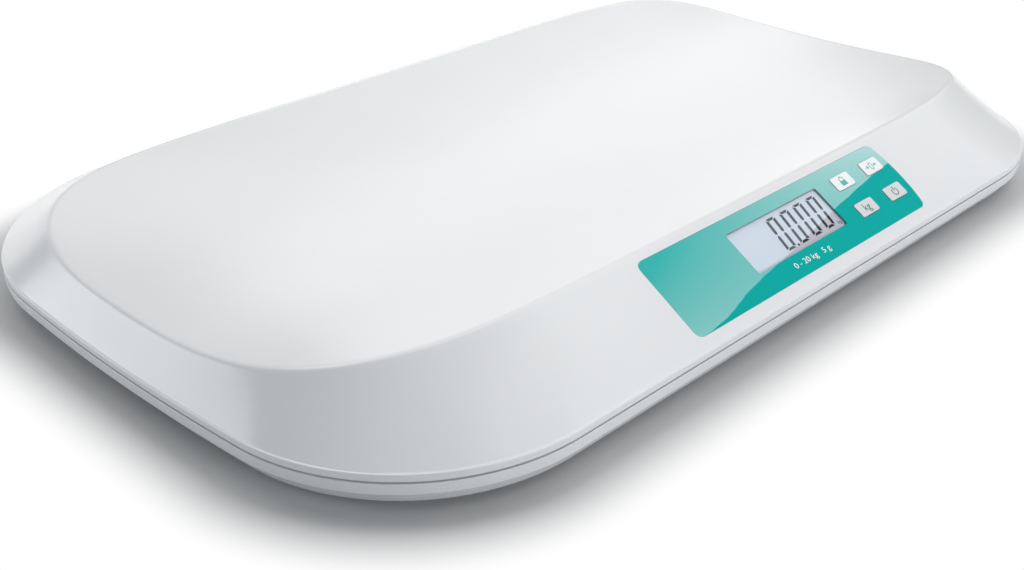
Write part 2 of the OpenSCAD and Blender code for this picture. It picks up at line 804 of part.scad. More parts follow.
// Each lead starts at its load cell and ends at its socket on the board
function side_of(k) = foot_spots[k][0] < 0 ? -1 : 1;
function lead_start(k) = [
    foot_spots[k][0] - side_of(k) * (load_w / 2 + 0.5),
    foot_spots[k][1] + lead_off,
    load_z + load_t / 2];
lead_sockets_of = [0, 4, 1, 3];
function socket_end(n, gap) = apron_pt(socket_us[n], socket_v, -board_back - socket_h - gap);
front_run_y = -(half_d - 52);
function lead_path(k) =
    let (s = side_of(k), n = lead_sockets_of[k], u = label_x + socket_us[n])
    let (out = foot_spots[k][0] - s * (holder_w / 2 + 8), y = foot_spots[k][1] + lead_off)
    k < 2
        ? [lead_start(k), [out, y, load_z + load_t / 2],
            [out - s * 8, y, lead_z], [u, front_run_y - 6, lead_z],
            socket_end(n, 6), socket_end(n, 0.2)]
        : [lead_start(k), [out, y, load_z + load_t / 2],
            [out - s * 8, y - 4, lead_z], [s * 58, 62, lead_z],
            [s * 58, -70, lead_z], [u, front_run_y + 4, lead_z],
            socket_end(n, 6), socket_end(n, 0.2)];

module sensor_lead(k) {
    color([0.75, 0.2, 0.2]) lead(lead_path(k));
}

module battery_lead() {
    side = bay_w / 2 + bay_wall + lead_d / 2 + 0.2;
    u = label_x + socket_us[2];
    color([0.2, 0.2, 0.2]) lead([
        [-side, -bay_l / 2 + 6, lead_z + 8],
        [-side, -bay_l / 2 + 6, lead_z + ledge_t + 1.2],
        [-side, -door_l / 2 - ledge - 1, lead_z + ledge_t + 0.6],
        [-side, -door_l / 2 - ledge - 7, lead_z],
        [u, front_run_y - 1, lead_z],
        socket_end(2, 6),
        socket_end(2, 0.2)]);
}

module load_cell(k) {
    p = foot_spots[k];
    slot = 2;
    color([0.75, 0.76, 0.78])
    translate([p[0], p[1], load_z]) linear_extrude(load_t) difference() {
        square(load_w, center = true);
        for (s = [-1, 1]) translate([s * 9 - slot / 2, -10]) square([slot, 22]);
        translate([-9, 10]) square([18, slot]);
    }
}

module cell_holder(k) {
    p = foot_spots[k];
    s = side_of(k);
    inner = load_w + 2 * holder_gap;
    color([0.9, 0.9, 0.88])
    translate([p[0], p[1], 0]) difference() {
        union() {
            translate([-holder_w / 2, -holder_w / 2, floor_z])
                cube([holder_w, holder_w, holder_top - floor_z]);
            for (e = ear_spots) {
                translate([e, 0, ear_z]) cylinder(h = ear_t, d = ear_d, $fn = 40);
                translate([e > 0 ? 0 : e, -ear_d / 2, ear_z]) cube([abs(e), ear_d, ear_t]);
            }
        }
        translate([-inner / 2, -inner / 2, floor_z - 1])
            cube([inner, inner, load_z + load_t - floor_z + 1]);
        translate([-load_w / 2 + holder_lip, -load_w / 2 + holder_lip, floor_z])
            cube([load_w - 2 * holder_lip, load_w - 2 * holder_lip, 20]);
        translate([s > 0 ? -holder_w : 0, lead_off - lead_notch / 2, load_z - 1])
            cube([holder_w, lead_notch, load_t + 1]);
        for (e = ear_spots) translate([e, 0, 0])
            cylinder(h = 30, r = small_d / 2 + 0.2, $fn = 24);
    }
}

module holder_screws() {
    color([0.6, 0.6, 0.62])
    for (p = foot_spots, e = ear_spots) translate([p[0] + e, p[1], 0]) {
        translate([0, 0, base_z + 1.6])
            cylinder(h = ear_z + ear_t - base_z - 1.6, d = small_d, $fn = 24);
        translate([0, 0, ear_z + ear_t]) cylinder(h = small_head_t, d = small_head_d, $fn = 24);
    }
}

module foot(k) {
    p = foot_spots[k];
    color(white * 0.9)
    translate([p[0], p[1], pad_t]) {
        cylinder(h = foot_t, d = foot_d, $fn = 64);
        cylinder(h = load_z - pad_t, d = foot_pin_d, $fn = 40);
    }
}

module foot_pad(k) {
    p = foot_spots[k];
    color([0.35, 0.36, 0.38])
    translate([p[0], p[1], 0]) cylinder(h = pad_t, d = pad_d, $fn = 64);
}

module case_screws() {
    color([0.6, 0.6, 0.62])
    for (p = column_spots) translate([p[0], p[1], column_seat - head_t]) {
        cylinder(h = head_t, d = head_d, $fn = 40);
        cylinder(h = column_top + grip - column_seat + head_t, d = screw_d, $fn = 32);
    }
}

upper_case();
base_case();
panel_film();
display_lens();
display_glass();
display_seal();
display_frame();
elastomer_strip();
circuit_board();
controller_chip();
board_parts();
lead_sockets();
board_screws();
key_switches();
key(0);  // key_lock
key(1);  // key_zero
key(2);  // key_unit
key(3);  // key_power
plunger(0);  // plunger_lock
plunger(1);  // plunger_zero
plunger(2);  // plunger_unit
plunger(3);  // plunger_power
battery_door();
door_screws();
cell(0);  // cell_1
cell(1);  // cell_2
cell(2);  // cell_3
cell(3);  // cell_4
contact_springs();
contact_plates();
battery_lead();
load_cell(0);  // load_cell_fl
load_cell(1);  // load_cell_fr
load_cell(2);  // load_cell_bl
load_cell(3);  // load_cell_br
cell_holder(0);  // cell_holder_fl
cell_holder(1);  // cell_holder_fr
cell_holder(2);  // cell_holder_bl
cell_holder(3);  // cell_holder_br
holder_screws();
foot(0);  // foot_fl
foot(1);  // foot_fr
foot(2);  // foot_bl
foot(3);  // foot_br
foot_pad(0);  // foot_pad_fl
foot_pad(1);  // foot_pad_fr
foot_pad(2);  // foot_pad_bl
foot_pad(3);  // foot_pad_br
sensor_lead(0);  // sensor_lead_fl
sensor_lead(1);  // sensor_lead_fr
sensor_lead(2);  // sensor_lead_bl
sensor_lead(3);  // sensor_lead_br
case_screws();
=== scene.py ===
import math

import bmesh
import bpy
import numpy as np
from bpy.props import FloatProperty, FloatVectorProperty, PointerProperty
from bpy.types import Operator, Panel, PropertyGroup
from mathutils import Matrix, Vector


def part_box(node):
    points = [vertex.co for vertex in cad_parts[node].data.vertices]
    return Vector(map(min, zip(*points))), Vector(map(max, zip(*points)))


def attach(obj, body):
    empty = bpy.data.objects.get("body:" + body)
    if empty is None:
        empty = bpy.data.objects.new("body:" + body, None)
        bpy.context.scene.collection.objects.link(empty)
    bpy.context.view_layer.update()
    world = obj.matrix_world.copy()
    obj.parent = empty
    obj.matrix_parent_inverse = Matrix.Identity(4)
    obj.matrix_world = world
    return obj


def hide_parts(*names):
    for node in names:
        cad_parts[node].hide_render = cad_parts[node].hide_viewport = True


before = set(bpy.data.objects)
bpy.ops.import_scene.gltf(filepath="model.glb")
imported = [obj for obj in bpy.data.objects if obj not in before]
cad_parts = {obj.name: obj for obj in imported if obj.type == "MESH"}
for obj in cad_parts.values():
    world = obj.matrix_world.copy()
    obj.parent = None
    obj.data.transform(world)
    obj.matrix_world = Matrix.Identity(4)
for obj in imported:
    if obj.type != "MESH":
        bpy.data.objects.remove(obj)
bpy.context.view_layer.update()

bl_info = {
    "name": "Baby Scale Dressing",
    "version": (1, 0, 0),
    "blender": (4, 5, 0),
    "location": "View3D > Sidebar > Baby Scale",
    "description": "Dresses the baby weighing scale with shells, prints, finishes and a stage",
    "category": "Object",
}

BODY = "scale_body"
MM = 0.001
SIDES = (-1, 1)
SPOTS = ("fl", "fr", "bl", "br")


# ---------------------------------------------------------------- sizes and colours


def length(name, description, default):
    """A length in metres that shows in the panel."""
    return FloatProperty(
        name=name, description=description, default=default,
        subtype="DISTANCE", unit="LENGTH", precision=4)


def colour(name, description, default):
    """A linear colour that shows in the panel."""
    return FloatVectorProperty(
        name=name, description=description, default=default,
        subtype="COLOR", size=3, min=0.0, max=1.0)


class BabyScaleCase(PropertyGroup):
    """Sizes of the two mouldings."""

    case_length: length("Length", "Length of the case, end to end", 0.550)
    case_depth: length("Depth", "Depth of the case, front to back", 0.370)
    corner_radius: length("Front corners", "Plan radius of the two front corners", 0.098)
    corner_back: length("Back corners", "Plan radius of the two back corners", 0.117)
    end_radius: length("End radius", "Plan radius of the bowed ends", 1.230)
    wall: length("Wall", "Wall thickness", 0.0026)
    seam_height: length("Parting line", "Height of the parting line", 0.016)
    seam_gap: length("Parting gap", "Width of the gap at the parting line", 0.0006)
    band_up: length("Upper band", "Height of the upper case's upright band", 0.0039)
    band_down: length("Lower band", "Height of the base's upright band", 0.0056)
    crease_inset: length("Crease step", "How far the crease steps in", 0.001)
    base_height: length("Underside", "Height of the underside above the floor", 0.004)
    base_inset: length("Underside inset", "How far the underside draws in", 0.0055)
    skirt_end: length("End skirt", "Width of the skirt at the short ends", 0.013)
    skirt_front: length("Front apron", "Width of the apron along the front", 0.048)
    skirt_back: length("Back apron", "Width of the apron along the back", 0.059)
    edge_side: length("Long edge", "Height of the long edges above the parting line", 0.0327)
    edge_end: length("Short edge", "Height of the short edges above the parting line", 0.0205)
    tray_low: length("Tray bottom", "Height of the tray's middle above the parting line", 0.014)
    edge_soft: length("Edge softness", "Length of the softened edge on each side", 0.0024)
    tray_nx: FloatProperty(name="Plan squareness X", description="Squareness along X", default=7.5)
    tray_ny: FloatProperty(name="Plan squareness Y", description="Squareness along Y", default=3.2)
    rise_late: FloatProperty(name="Late rise", description="How late the edge rises", default=1.3)
    dish_power: FloatProperty(name="Dish power", description="Steepness of the dish", default=2.4)


class BabyScalePanel(PropertyGroup):
    """Sizes of the printed front panel."""

    label_x: length("Panel offset", "Sideways offset of the panel", 0.0035)
    label_up: length("Panel height", "Height of the panel's centre up the apron", 0.0279)
    label_width: length("Film width", "Width of the film", 0.1896)
    label_height: length("Film height", "Height of the film", 0.0438)
    label_bow: length("Film bow", "Bulge of the film's right edge", 0.003)
    label_radius: length("Film corner", "Corner radius of the film", 0.004)
    film_thickness: length("Film thickness", "Thickness of the film", 0.0004)
    window_width: length("Window width", "Width of the display window", 0.0741)
    window_height: length("Window height", "Height of the display window", 0.0245)
    window_u: length("Window across", "Offset of the window across", -0.0005)
    window_v: length("Window up", "Offset of the window up the apron", 0.0022)
    key_width: length("Key width", "Width of a key", 0.0152)
    key_height: length("Key height", "Height of a key", 0.0082)
    key_radius: length("Key corner", "Corner radius of a key", 0.0013)
    key_gap: length("Key gap", "Gap around a key", 0.0003)
    key_u: length("Key column", "Place of the left column of keys", 0.0569)
    key_pitch_u: length("Column pitch", "Distance between the key columns", 0.0268)
    key_v: length("Key row", "Place of the lower row of keys", -0.0076)
    key_pitch_v: length("Row pitch", "Distance between the key rows", 0.0181)
    digit_width: length("Digit width", "Width of a display digit", 0.0073)
    digit_height: length("Digit height", "Height of a display digit", 0.0192)
    digit_pitch: length("Digit pitch", "Distance between display digits", 0.01115)
    digit_stroke: length("Upright stroke", "Width of a digit's upright strokes", 0.0019)
    digit_level: length("Level stroke", "Height of a digit's level strokes", 0.0014)


class BabyScaleColours(PropertyGroup):
    """Colours of the finishes."""

    shell: colour("Shell", "Tray moulding", (0.80, 0.80, 0.805))
    base: colour("Base", "Base moulding", (0.79, 0.79, 0.80))
    film: colour("Film", "Deep part of the film", (0.001, 0.42, 0.388))
    # The film, display, digit and key colours for the panel's upper part are a painted reflection
    film_reflection_left: colour("Film pale left", "Pale sweep at the left", (0.044, 0.494, 0.463))
    film_reflection_right: colour("Film pale right", "Pale sweep at the right", (0.494, 0.751, 0.719))
    display_reflection: colour("Display pale", "Display above the sweep", (0.66, 0.73, 0.83))
    display_deep: colour("Display deep", "Display below the sweep", (0.50, 0.50, 0.57))
    segment_reflection: colour("Digits pale", "Digits above the sweep", (0.10, 0.11, 0.125))
    segment_deep: colour("Digits deep", "Digits below the sweep", (0.002, 0.002, 0.003))
    key_pale: colour("Upper keys", "Keys above the sweep", (0.92, 0.93, 0.93))
    key_deep: colour("Lower keys", "Keys below the sweep", (0.70, 0.72, 0.72))
    # Upper key marks: the same ink as the lower ones, painted lighter as a reflection over them
    mark: colour("Upper key marks", "Marks on the upper keys", (0.10, 0.47, 0.42))
    mark_deep: colour("Lower key marks", "Marks on the lower keys", (0.008, 0.16, 0.135))
    numbers: colour("Numbers", "Plain numbers on the film", (0.90, 0.95, 0.94))
    floor: colour("Floor", "Pale floor", (0.60, 0.60, 0.60))


# ---------------------------------------------------------------- shader writing


class Value:
    """One output of a shader node, on which sums and products can be written."""

    def __init__(self, finish, socket):
        self.finish = finish
        self.socket = socket

    def __add__(self, other):
        return self.finish.maths("ADD", self, other)

    def __sub__(self, other):
        return self.finish.maths("SUBTRACT", self, other)

    def __rsub__(self, other):
        return self.finish.maths("SUBTRACT", other, self)

    def __mul__(self, other):
        return self.finish.maths("MULTIPLY", self, other)

    def __truediv__(self, other):
        return self.finish.maths("DIVIDE", self, other)

    __radd__ = __add__
    __rmul__ = __mul__


class Finish:
    """A material, or a world's light, that is written as expressions."""

    def __init__(self, name, kind="materials"):
        self.made = getattr(bpy.data, kind).new(name)
        self.made.use_nodes = True
        self.tree = self.made.node_tree
        self.tree.nodes.clear()

    def node(self, kind, settings=None, sockets=None, output=0):
        """Adds a node, sets it up, then fills its sockets with values or links."""
        node = self.tree.nodes.new(kind)
        for key, value in (settings or {}).items():
            if key == "stops":
                ramp = node.color_ramp
                while len(ramp.elements) > 1:
                    ramp.elements.remove(ramp.elements[-1])
                ramp.elements[0].position, ramp.elements[0].color = value[0]
                for place, shade in value[1:]:
                    ramp.elements.new(place).color = shade
            elif key == "blend":
                node.color_ramp.interpolation = value
            else:
                setattr(node, key, value)
        for key, value in (sockets or {}).items():
            if isinstance(value, Value):
                self.tree.links.new(value.socket, node.inputs[key])
            else:
                node.inputs[key].default_value = value
        return Value(self, node.outputs[output]) if node.outputs else None

    def maths(self, operation, *terms):
        """A sum, a product or another function of numbers."""
        return self.node("ShaderNodeMath", {"operation": operation}, dict(enumerate(terms)))

    def vectors(self, operation, *terms, output="Vector"):
        """A function of vectors. Where it is a number, its output is "Value"."""
        return self.node(
            "ShaderNodeVectorMath", {"operation": operation}, dict(enumerate(terms)), output)

    def place(self):
        """The point on the object, in metres."""
        return self.node("ShaderNodeTexCoord", output="Object")

    def along(self, axis):
        """Distance of the point along a direction, in metres."""
        return self.vectors("DOT_PRODUCT", self.place(), axis, output="Value")

    def noise(self, scale, detail=2.0, rough=0.5):
        """Noise from 0 to 1, with the given number of waves in a metre."""
        return self.node(
            "ShaderNodeTexNoise", {},
            {"Vector": self.place(), "Scale": scale, "Detail": detail, "Roughness": rough})

    def step(self, value, start, end):
        """0 before start and 1 after end, with a smooth rise."""
        return self.node(
            "ShaderNodeMapRange", {"interpolation_type": "SMOOTHSTEP"},
            {0: value, 1: start, 2: end})

    def blend(self, factor, first, second):
        """A colour between two colours, through the Mix node's colour sockets."""
        return self.node(
            "ShaderNodeMix", {"data_type": "RGBA"},
            {0: factor, 6: shade(first), 7: shade(second)}, output=2)

    def bump(self, height, distance):
        """A surface normal from a height."""
        return self.node("ShaderNodeBump", {}, {"Height": height, "Distance": distance})

    def surface(self, **sockets):
        """Ends the material in a Principled shader."""
        named = {key.replace("_", " "): value for key, value in sockets.items()}
        shader = self.node("ShaderNodeBsdfPrincipled", {}, named)
        self.node("ShaderNodeOutputMaterial", {}, {"Surface": shader})
        return self.made


def shade(value):
    """A colour with its alpha, where it isn't a link."""
    return value if isinstance(value, Value) else (*value[:3], 1.0)


def scaled(value, factor):
    """A colour made lighter or darker, with no part over 1."""
    return tuple(min(1.0, part * factor) for part in value)


def moulded(name, tone, rough, grain=1600.0, depth=0.00002):
    """Moulded plastic: a faint mottle, uneven gloss and a fine spark-eroded grain."""
    f = Finish(name)
    mottle = f.noise(18.0, 3.0)
    fine = f.noise(grain, 2.0, 0.6)
    return f.surface(
        Base_Color=f.blend(mottle, scaled(tone, 0.985), scaled(tone, 1.012)),
        Roughness=rough + 0.08 * (f.noise(60.0) - 0.5) + 0.05 * (fine - 0.5),
        Normal=f.bump(fine, depth))


def metal(name, tone, rough, along=(1.0, 0.02, 0.02)):
    """Plated or brushed metal, with fine lines along one direction."""
    f = Finish(name)
    stretched = f.vectors("MULTIPLY", f.place(), along)
    lines = f.node(
        "ShaderNodeTexNoise", {}, {"Vector": stretched, "Scale": 5200.0, "Detail": 3.0})
    stain = f.noise(90.0, 3.0)
    return f.surface(
        Base_Color=f.blend(stain, scaled(tone, 0.88), scaled(tone, 1.05)),
        Metallic=1.0,
        Roughness=rough + 0.16 * (lines - 0.5) + 0.08 * (stain - 0.5),
        Normal=f.bump(lines, 0.000008))


def soft_rubber(name, tone):
    """Rubber or foam: matte, with a fine open grain."""
    f = Finish(name)
    fine = f.noise(2600.0, 3.0, 0.7)
    dust = f.noise(70.0, 4.0, 0.6)
    return f.surface(
        Base_Color=f.blend(f.step(dust, 0.45, 0.75), tone, scaled(tone, 1.25)),
        Roughness=0.72 + 0.12 * (fine - 0.5),
        Normal=f.bump(fine, 0.00004))


def plain_ink(name, tone, grain, thin, rough):
    """Printed ink, a little darker where it lies thin."""
    f = Finish(name)
    return f.surface(
        Base_Color=f.blend(f.noise(grain), scaled(tone, thin), tone), Roughness=rough)


# ---------------------------------------------------------------- panel frame and sweep


class Apron:
    """The sloping apron's own frame: across, up the slope, and outwards."""

    def __init__(self, context):
        case = context.scene.baby_scale_case
        panel = context.scene.baby_scale_panel
        rise = case.edge_side - case.band_up
        run = case.skirt_front - case.crease_inset
        self.tilt = math.atan2(rise, run)
        self.up = Vector((0, math.cos(self.tilt), math.sin(self.tilt)))
        self.out = Vector((0, -math.sin(self.tilt), math.cos(self.tilt)))
        foot = Vector((
            panel.label_x,
            -(case.case_depth / 2 - case.crease_inset),
            case.seam_height + case.band_up))
        self.origin = foot + panel.label_up * self.up

    def point(self, u, v, w=0.0):
        return self.origin + Vector((u, 0, 0)) + v * self.up + w * self.out

    def extent(self, node):
        """A node's lowest and highest place across, up the slope and outwards."""
        spots = [v.co - self.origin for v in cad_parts[node].data.vertices]
        axes = (Vector((1, 0, 0)), self.up, self.out)
        places = [[spot.dot(axis) for spot in spots] for axis in axes]
        return [min(p) for p in places], [max(p) for p in places]

    def height_of(self, node):
        """How far a node's outermost face stands above the apron's face."""
        return self.extent(node)[1][2]

    def matrix(self):
        m = Matrix.Rotation(self.tilt, 4, "X")
        m.translation = self.origin
        return m


# The edge of the painted reflection over the film: places across and up the panel, in mm
REFLECTION_EDGE = (
    (-95.0, -22.2), (-83.0, -21.2), (-71.0, -19.6), (-63.0, -17.6), (-55.0, -15.4),
    (-39.0, -12.5), (-28.0, -10.9), (-16.0, -9.1), (-3.0, -7.1), (10.0, -4.9), (23.0, -2.6),
    (39.0, 0.1), (56.0, 2.5), (76.0, 5.3), (92.0, 7.0), (99.0, 7.7))
# The ramp that carries the edge reaches this far up and down the panel, in mm
REFLECTION_REACH = 30.0
# Half the width over which the edge turns, in metres
REFLECTION_SOFT = 0.0002
# The painted reflection's tint, 0 for its left colour and 1 for its right one: its share at
# the panel's middle, and its change in a metre across, in a metre up, and with across times up
REFLECTION_TINT_MIDDLE, REFLECTION_TINT_ACROSS, REFLECTION_TINT_UP, REFLECTION_TINT_BOTH = 0.396, 2.24, 1.1, 149.5
# Colour of the painted shade along the display's top and right rims
DISPLAY_RIM_SHADE = (0.42, 0.43, 0.50)


def painted_reflection(f, apron):
    """1 under the painted reflection on the panel and 0 elsewhere, and the place across and up."""
    across = f.along((1.0, 0.0, 0.0)) - apron.origin.x
    upward = f.along(tuple(apron.up)) - apron.origin.dot(apron.up)
    low, high = REFLECTION_EDGE[0][0] * MM, REFLECTION_EDGE[-1][0] * MM
    share = (across - low) / (high - low)
    stops = [
        ((u * MM - low) / (high - low), (*[(v + REFLECTION_REACH) / (2 * REFLECTION_REACH)] * 3, 1.0))
        for u, v in REFLECTION_EDGE]
    curve = f.node("ShaderNodeValToRGB", {"stops": stops, "blend": "CARDINAL"}, {0: share})
    level = f.node("ShaderNodeSeparateColor", {}, {0: curve})
    edge = level * (2 * REFLECTION_REACH * MM) - REFLECTION_REACH * MM
    return f.step(upward - edge, -REFLECTION_SOFT, REFLECTION_SOFT), across, upward


def film_print_and_reflection(context, apron):
    """Glossy film printed in deep teal, with a painted reflection, a paler sweep, over its upper
    part.
    """
    tones = context.scene.baby_scale_colours
    f = Finish("film_print_and_reflection")
    reflected, across, upward = painted_reflection(f, apron)
    rightward = REFLECTION_TINT_MIDDLE + REFLECTION_TINT_ACROSS * across + upward * (REFLECTION_TINT_BOTH * across + REFLECTION_TINT_UP)
    reflection_tint = f.blend(rightward, tones.film_reflection_left, tones.film_reflection_right)
    ink = f.noise(2400.0, 2.0)
    return f.surface(
        Base_Color=f.blend(reflected, f.blend(ink, scaled(tones.film, 0.97), tones.film), reflection_tint),
        Roughness=0.30 + 0.04 * (f.noise(90.0) - 0.5),
        Specular_IOR_Level=0.03,
        Normal=f.bump(ink, 0.000006))


def display_shade_and_reflection(context, apron):
    """Display glass with a reflective back: paler under the painted reflection, deeper below it,
    with painted shade darkening its top and right rims.
    """
    tones = context.scene.baby_scale_colours
    panel = context.scene.baby_scale_panel
    height, width = panel.window_height, panel.window_width
    f = Finish("display_shade_and_reflection")
    reflected, across, upward = painted_reflection(f, apron)
    # Painted shade: the display darkens towards its top and right rims
    shade_top = f.step(upward - panel.window_v, height * 0.30, height * 0.62)
    shade_right = f.step(across - panel.window_u, width * 0.42, width * 0.54)
    haze = f.noise(45.0)
    tone = f.blend(reflected, tones.display_deep, tones.display_reflection)
    return f.surface(
        Base_Color=f.blend(0.30 * shade_top + 0.16 * shade_right + 0.03 * haze, tone, DISPLAY_RIM_SHADE),
        Roughness=0.34 + 0.04 * (haze - 0.5))


def segment_ink_and_reflection(context, apron):
    """Liquid-crystal segments: near black, greyer where the painted reflection lies over them."""
    tones = context.scene.baby_scale_colours
    f = Finish("segment_ink_and_reflection")
    reflected = painted_reflection(f, apron)[0]
    grey = f.blend(f.noise(1500.0), scaled(tones.segment_reflection, 0.94), tones.segment_reflection)
    return f.surface(
        Base_Color=f.blend(reflected, tones.segment_deep, grey), Roughness=0.4, Specular_IOR_Level=0.1)


def key_cap(context, apron):
    """Satin key caps, whiter where the painted reflection lies over them."""
    tones = context.scene.baby_scale_colours
    f = Finish("key_cap")
    reflected = painted_reflection(f, apron)[0]
    fine = f.noise(2200.0, 2.0)
    return f.surface(
        Base_Color=f.blend(reflected, tones.key_deep, tones.key_pale),
        Roughness=0.42 + 0.06 * (fine - 0.5),
        Normal=f.bump(fine, 0.00001))


def clear_lens():
    """Clear acrylic: nearly unseen, but for its gloss."""
    f = Finish("clear_lens")
    haze = f.noise(40.0)
    return f.surface(
        Base_Color=(0.90, 0.93, 0.95, 1.0), Alpha=0.015 + 0.01 * haze,
        Roughness=0.06 + 0.03 * haze)


def board_lacquer(apron):
    """Green lacquer over fine copper tracks that run both ways."""
    f = Finish("board_lacquer")
    u = f.along((1.0, 0.0, 0.0))
    v = f.along(tuple(apron.up))
    patch = f.noise(70.0, 1.0)
    lines_u, lines_v = (f.maths("SINE", way * 5200.0 + patch * 9.0) for way in (u, v))
    which = f.step(patch, 0.48, 0.50)
    tracks = f.step(lines_u * which + lines_v * (1 - which), 0.45, 0.60)
    return f.surface(
        Base_Color=f.blend(tracks, (0.012, 0.13, 0.05), (0.03, 0.22, 0.09)),
        Roughness=0.28 + 0.10 * tracks, Normal=f.bump(tracks, 0.00003))


def wrapped_cell():
    """A plain cell's wrap: dark body with a copper band at one end of its length."""
    f = Finish("wrapped_cell")
    end = f.step(f.along((0.0, 1.0, 0.0)), 0.0125, 0.0128)
    scuff = f.noise(300.0, 4.0, 0.7)
    body = f.blend(scuff, (0.02, 0.02, 0.024), (0.035, 0.035, 0.04))
    return f.surface(
        Base_Color=f.blend(end, body, (0.55, 0.27, 0.10)), Metallic=0.35 * end + 0.1,
        Roughness=0.26 + 0.10 * (scuff - 0.5))


def sleeve(name, tone):
    """The sleeve of a wire, with faint rings."""
    f = Finish(name)
    rings = f.noise(900.0, 1.0)
    return f.surface(
        Base_Color=f.blend(rings, scaled(tone, 0.85), scaled(tone, 1.1)),
        Roughness=0.45 + 0.10 * (rings - 0.5), Normal=f.bump(rings, 0.00002))


# ---------------------------------------------------------------- mesh helpers


def mesh_object(name, points, faces):
    """A smooth object from points and faces."""
    mesh = bpy.data.meshes.new(name)
    mesh.from_pydata([tuple(p) for p in points], [], faces)
    work = bmesh.new()
    work.from_mesh(mesh)
    bmesh.ops.recalc_face_normals(work, faces=work.faces)
    work.to_mesh(mesh)
    work.free()
    obj = bpy.data.objects.new(name, mesh)
    bpy.context.scene.collection.objects.link(obj)
    return smooth(obj)


def smooth(obj, sharp=30.0):
    """Shades an object smooth, but for edges sharper than an angle in degrees."""
    obj.data.shade_smooth()
    obj.data.set_sharp_from_angle(angle=math.radians(sharp))
    return obj


def joined(name, parts):
    """Points and faces of several closed forms, as one object."""
    points, faces = [], []
    for part_points, part_faces in parts:
        start = len(points)
        points += list(part_points)
        faces += [[start + i for i in face] for face in part_faces]
    return mesh_object(name, points, faces)


def carve(obj, parts, operation="DIFFERENCE"):
    """Takes closed forms out of an object, or adds them to it."""
    tool = joined("tool", parts)
    step = obj.modifiers.new("carve", "BOOLEAN")
    step.object, step.operation, step.solver = tool, operation, "MANIFOLD"
    evaluated = obj.evaluated_get(bpy.context.evaluated_depsgraph_get())
    made = bpy.data.meshes.new_from_object(evaluated)
    obj.modifiers.clear()
    old = obj.data
    obj.data = made
    bpy.data.meshes.remove(old)
    spare = tool.data
    bpy.data.objects.remove(tool)
    bpy.data.meshes.remove(spare)
    if len(made.polygons) == 0:
        raise RuntimeError(f"carving {obj.name} left nothing")
    return obj


def prism(outline, low, high, matrix=None):
    """A closed form with straight sides over a flat outline."""
    n = len(outline)
    points = [Vector((x, y, low)) for x, y in outline] + [Vector((x, y, high)) for x, y in outline]
    if matrix is not None:
        points = [matrix @ p for p in points]
    sides = [[i, (i + 1) % n, n + (i + 1) % n, n + i] for i in range(n)]
    return points, [list(range(n - 1, -1, -1)), list(range(n, 2 * n)), *sides]


def ring(radius, steps, x=0.0, y=0.0):
    """Points on a circle round (x, y)."""
    turns = [2 * math.pi * k / steps for k in range(steps)]
    return [(x + radius * math.cos(a), y + radius * math.sin(a)) for a in turns]


def rods(radius, steps, places, low, high):
    """Upright round forms at several places."""
    return [prism(ring(radius, steps, x, y), low, high) for x, y in places]


def bar(x0, y0, x1, y1):
    """A rectangle between two corners."""
    return [(x0, y0), (x1, y0), (x1, y1), (x0, y1)]


def rectangle(w, h, x=0.0, y=0.0):
    """A rectangle round (x, y)."""
    return bar(x - w / 2, y - h / 2, x + w / 2, y + h / 2)


def arc(cx, cy, r, start, end, steps):
    """Points on an arc between two angles in degrees."""
    turns = [math.radians(start + (end - start) * k / steps) for k in range(steps + 1)]
    return [(cx + r * math.cos(a), cy + r * math.sin(a)) for a in turns]


def round_rectangle(w, h, r, x=0.0, y=0.0, steps=8):
    """A rectangle round (x, y) with round corners."""
    spots = ((1, -1, -90), (1, 1, 0), (-1, 1, 90), (-1, -1, 180))
    return [
        p for sx, sy, start in spots
        for p in arc(x + sx * (w / 2 - r), y + sy * (h / 2 - r), r, start, start + 90, steps)]


def bend(start, middle, end, steps=6):
    """Points on a curve from start to end that is drawn towards middle."""
    start, middle, end = (np.array(point) for point in (start, middle, end))
    for k in range(steps + 1):
        s = k / steps
        yield (1 - s) ** 2 * start + 2 * s * (1 - s) * middle + s * s * end


def loft(name, first, rings, last):
    """A closed skin through rings, from a point, or a flat face if it is None, to a point."""
    n = len(rings[0])
    points = [p for r in rings for p in r]
    faces = []
    for k in range(len(rings) - 1):
        for i in range(n):
            j = (i + 1) % n
            faces.append([k * n + i, k * n + j, (k + 1) * n + j, (k + 1) * n + i])
    top = (len(rings) - 1) * n
    if first is None:
        faces.append(list(range(n)))
    else:
        points.append(first)
        faces += [[len(points) - 1, (i + 1) % n, i] for i in range(n)]
    points.append(last)
    faces += [[len(points) - 1, top + i, top + (i + 1) % n] for i in range(n)]
    return mesh_object(name, points, faces)


# ---------------------------------------------------------------- the case's form


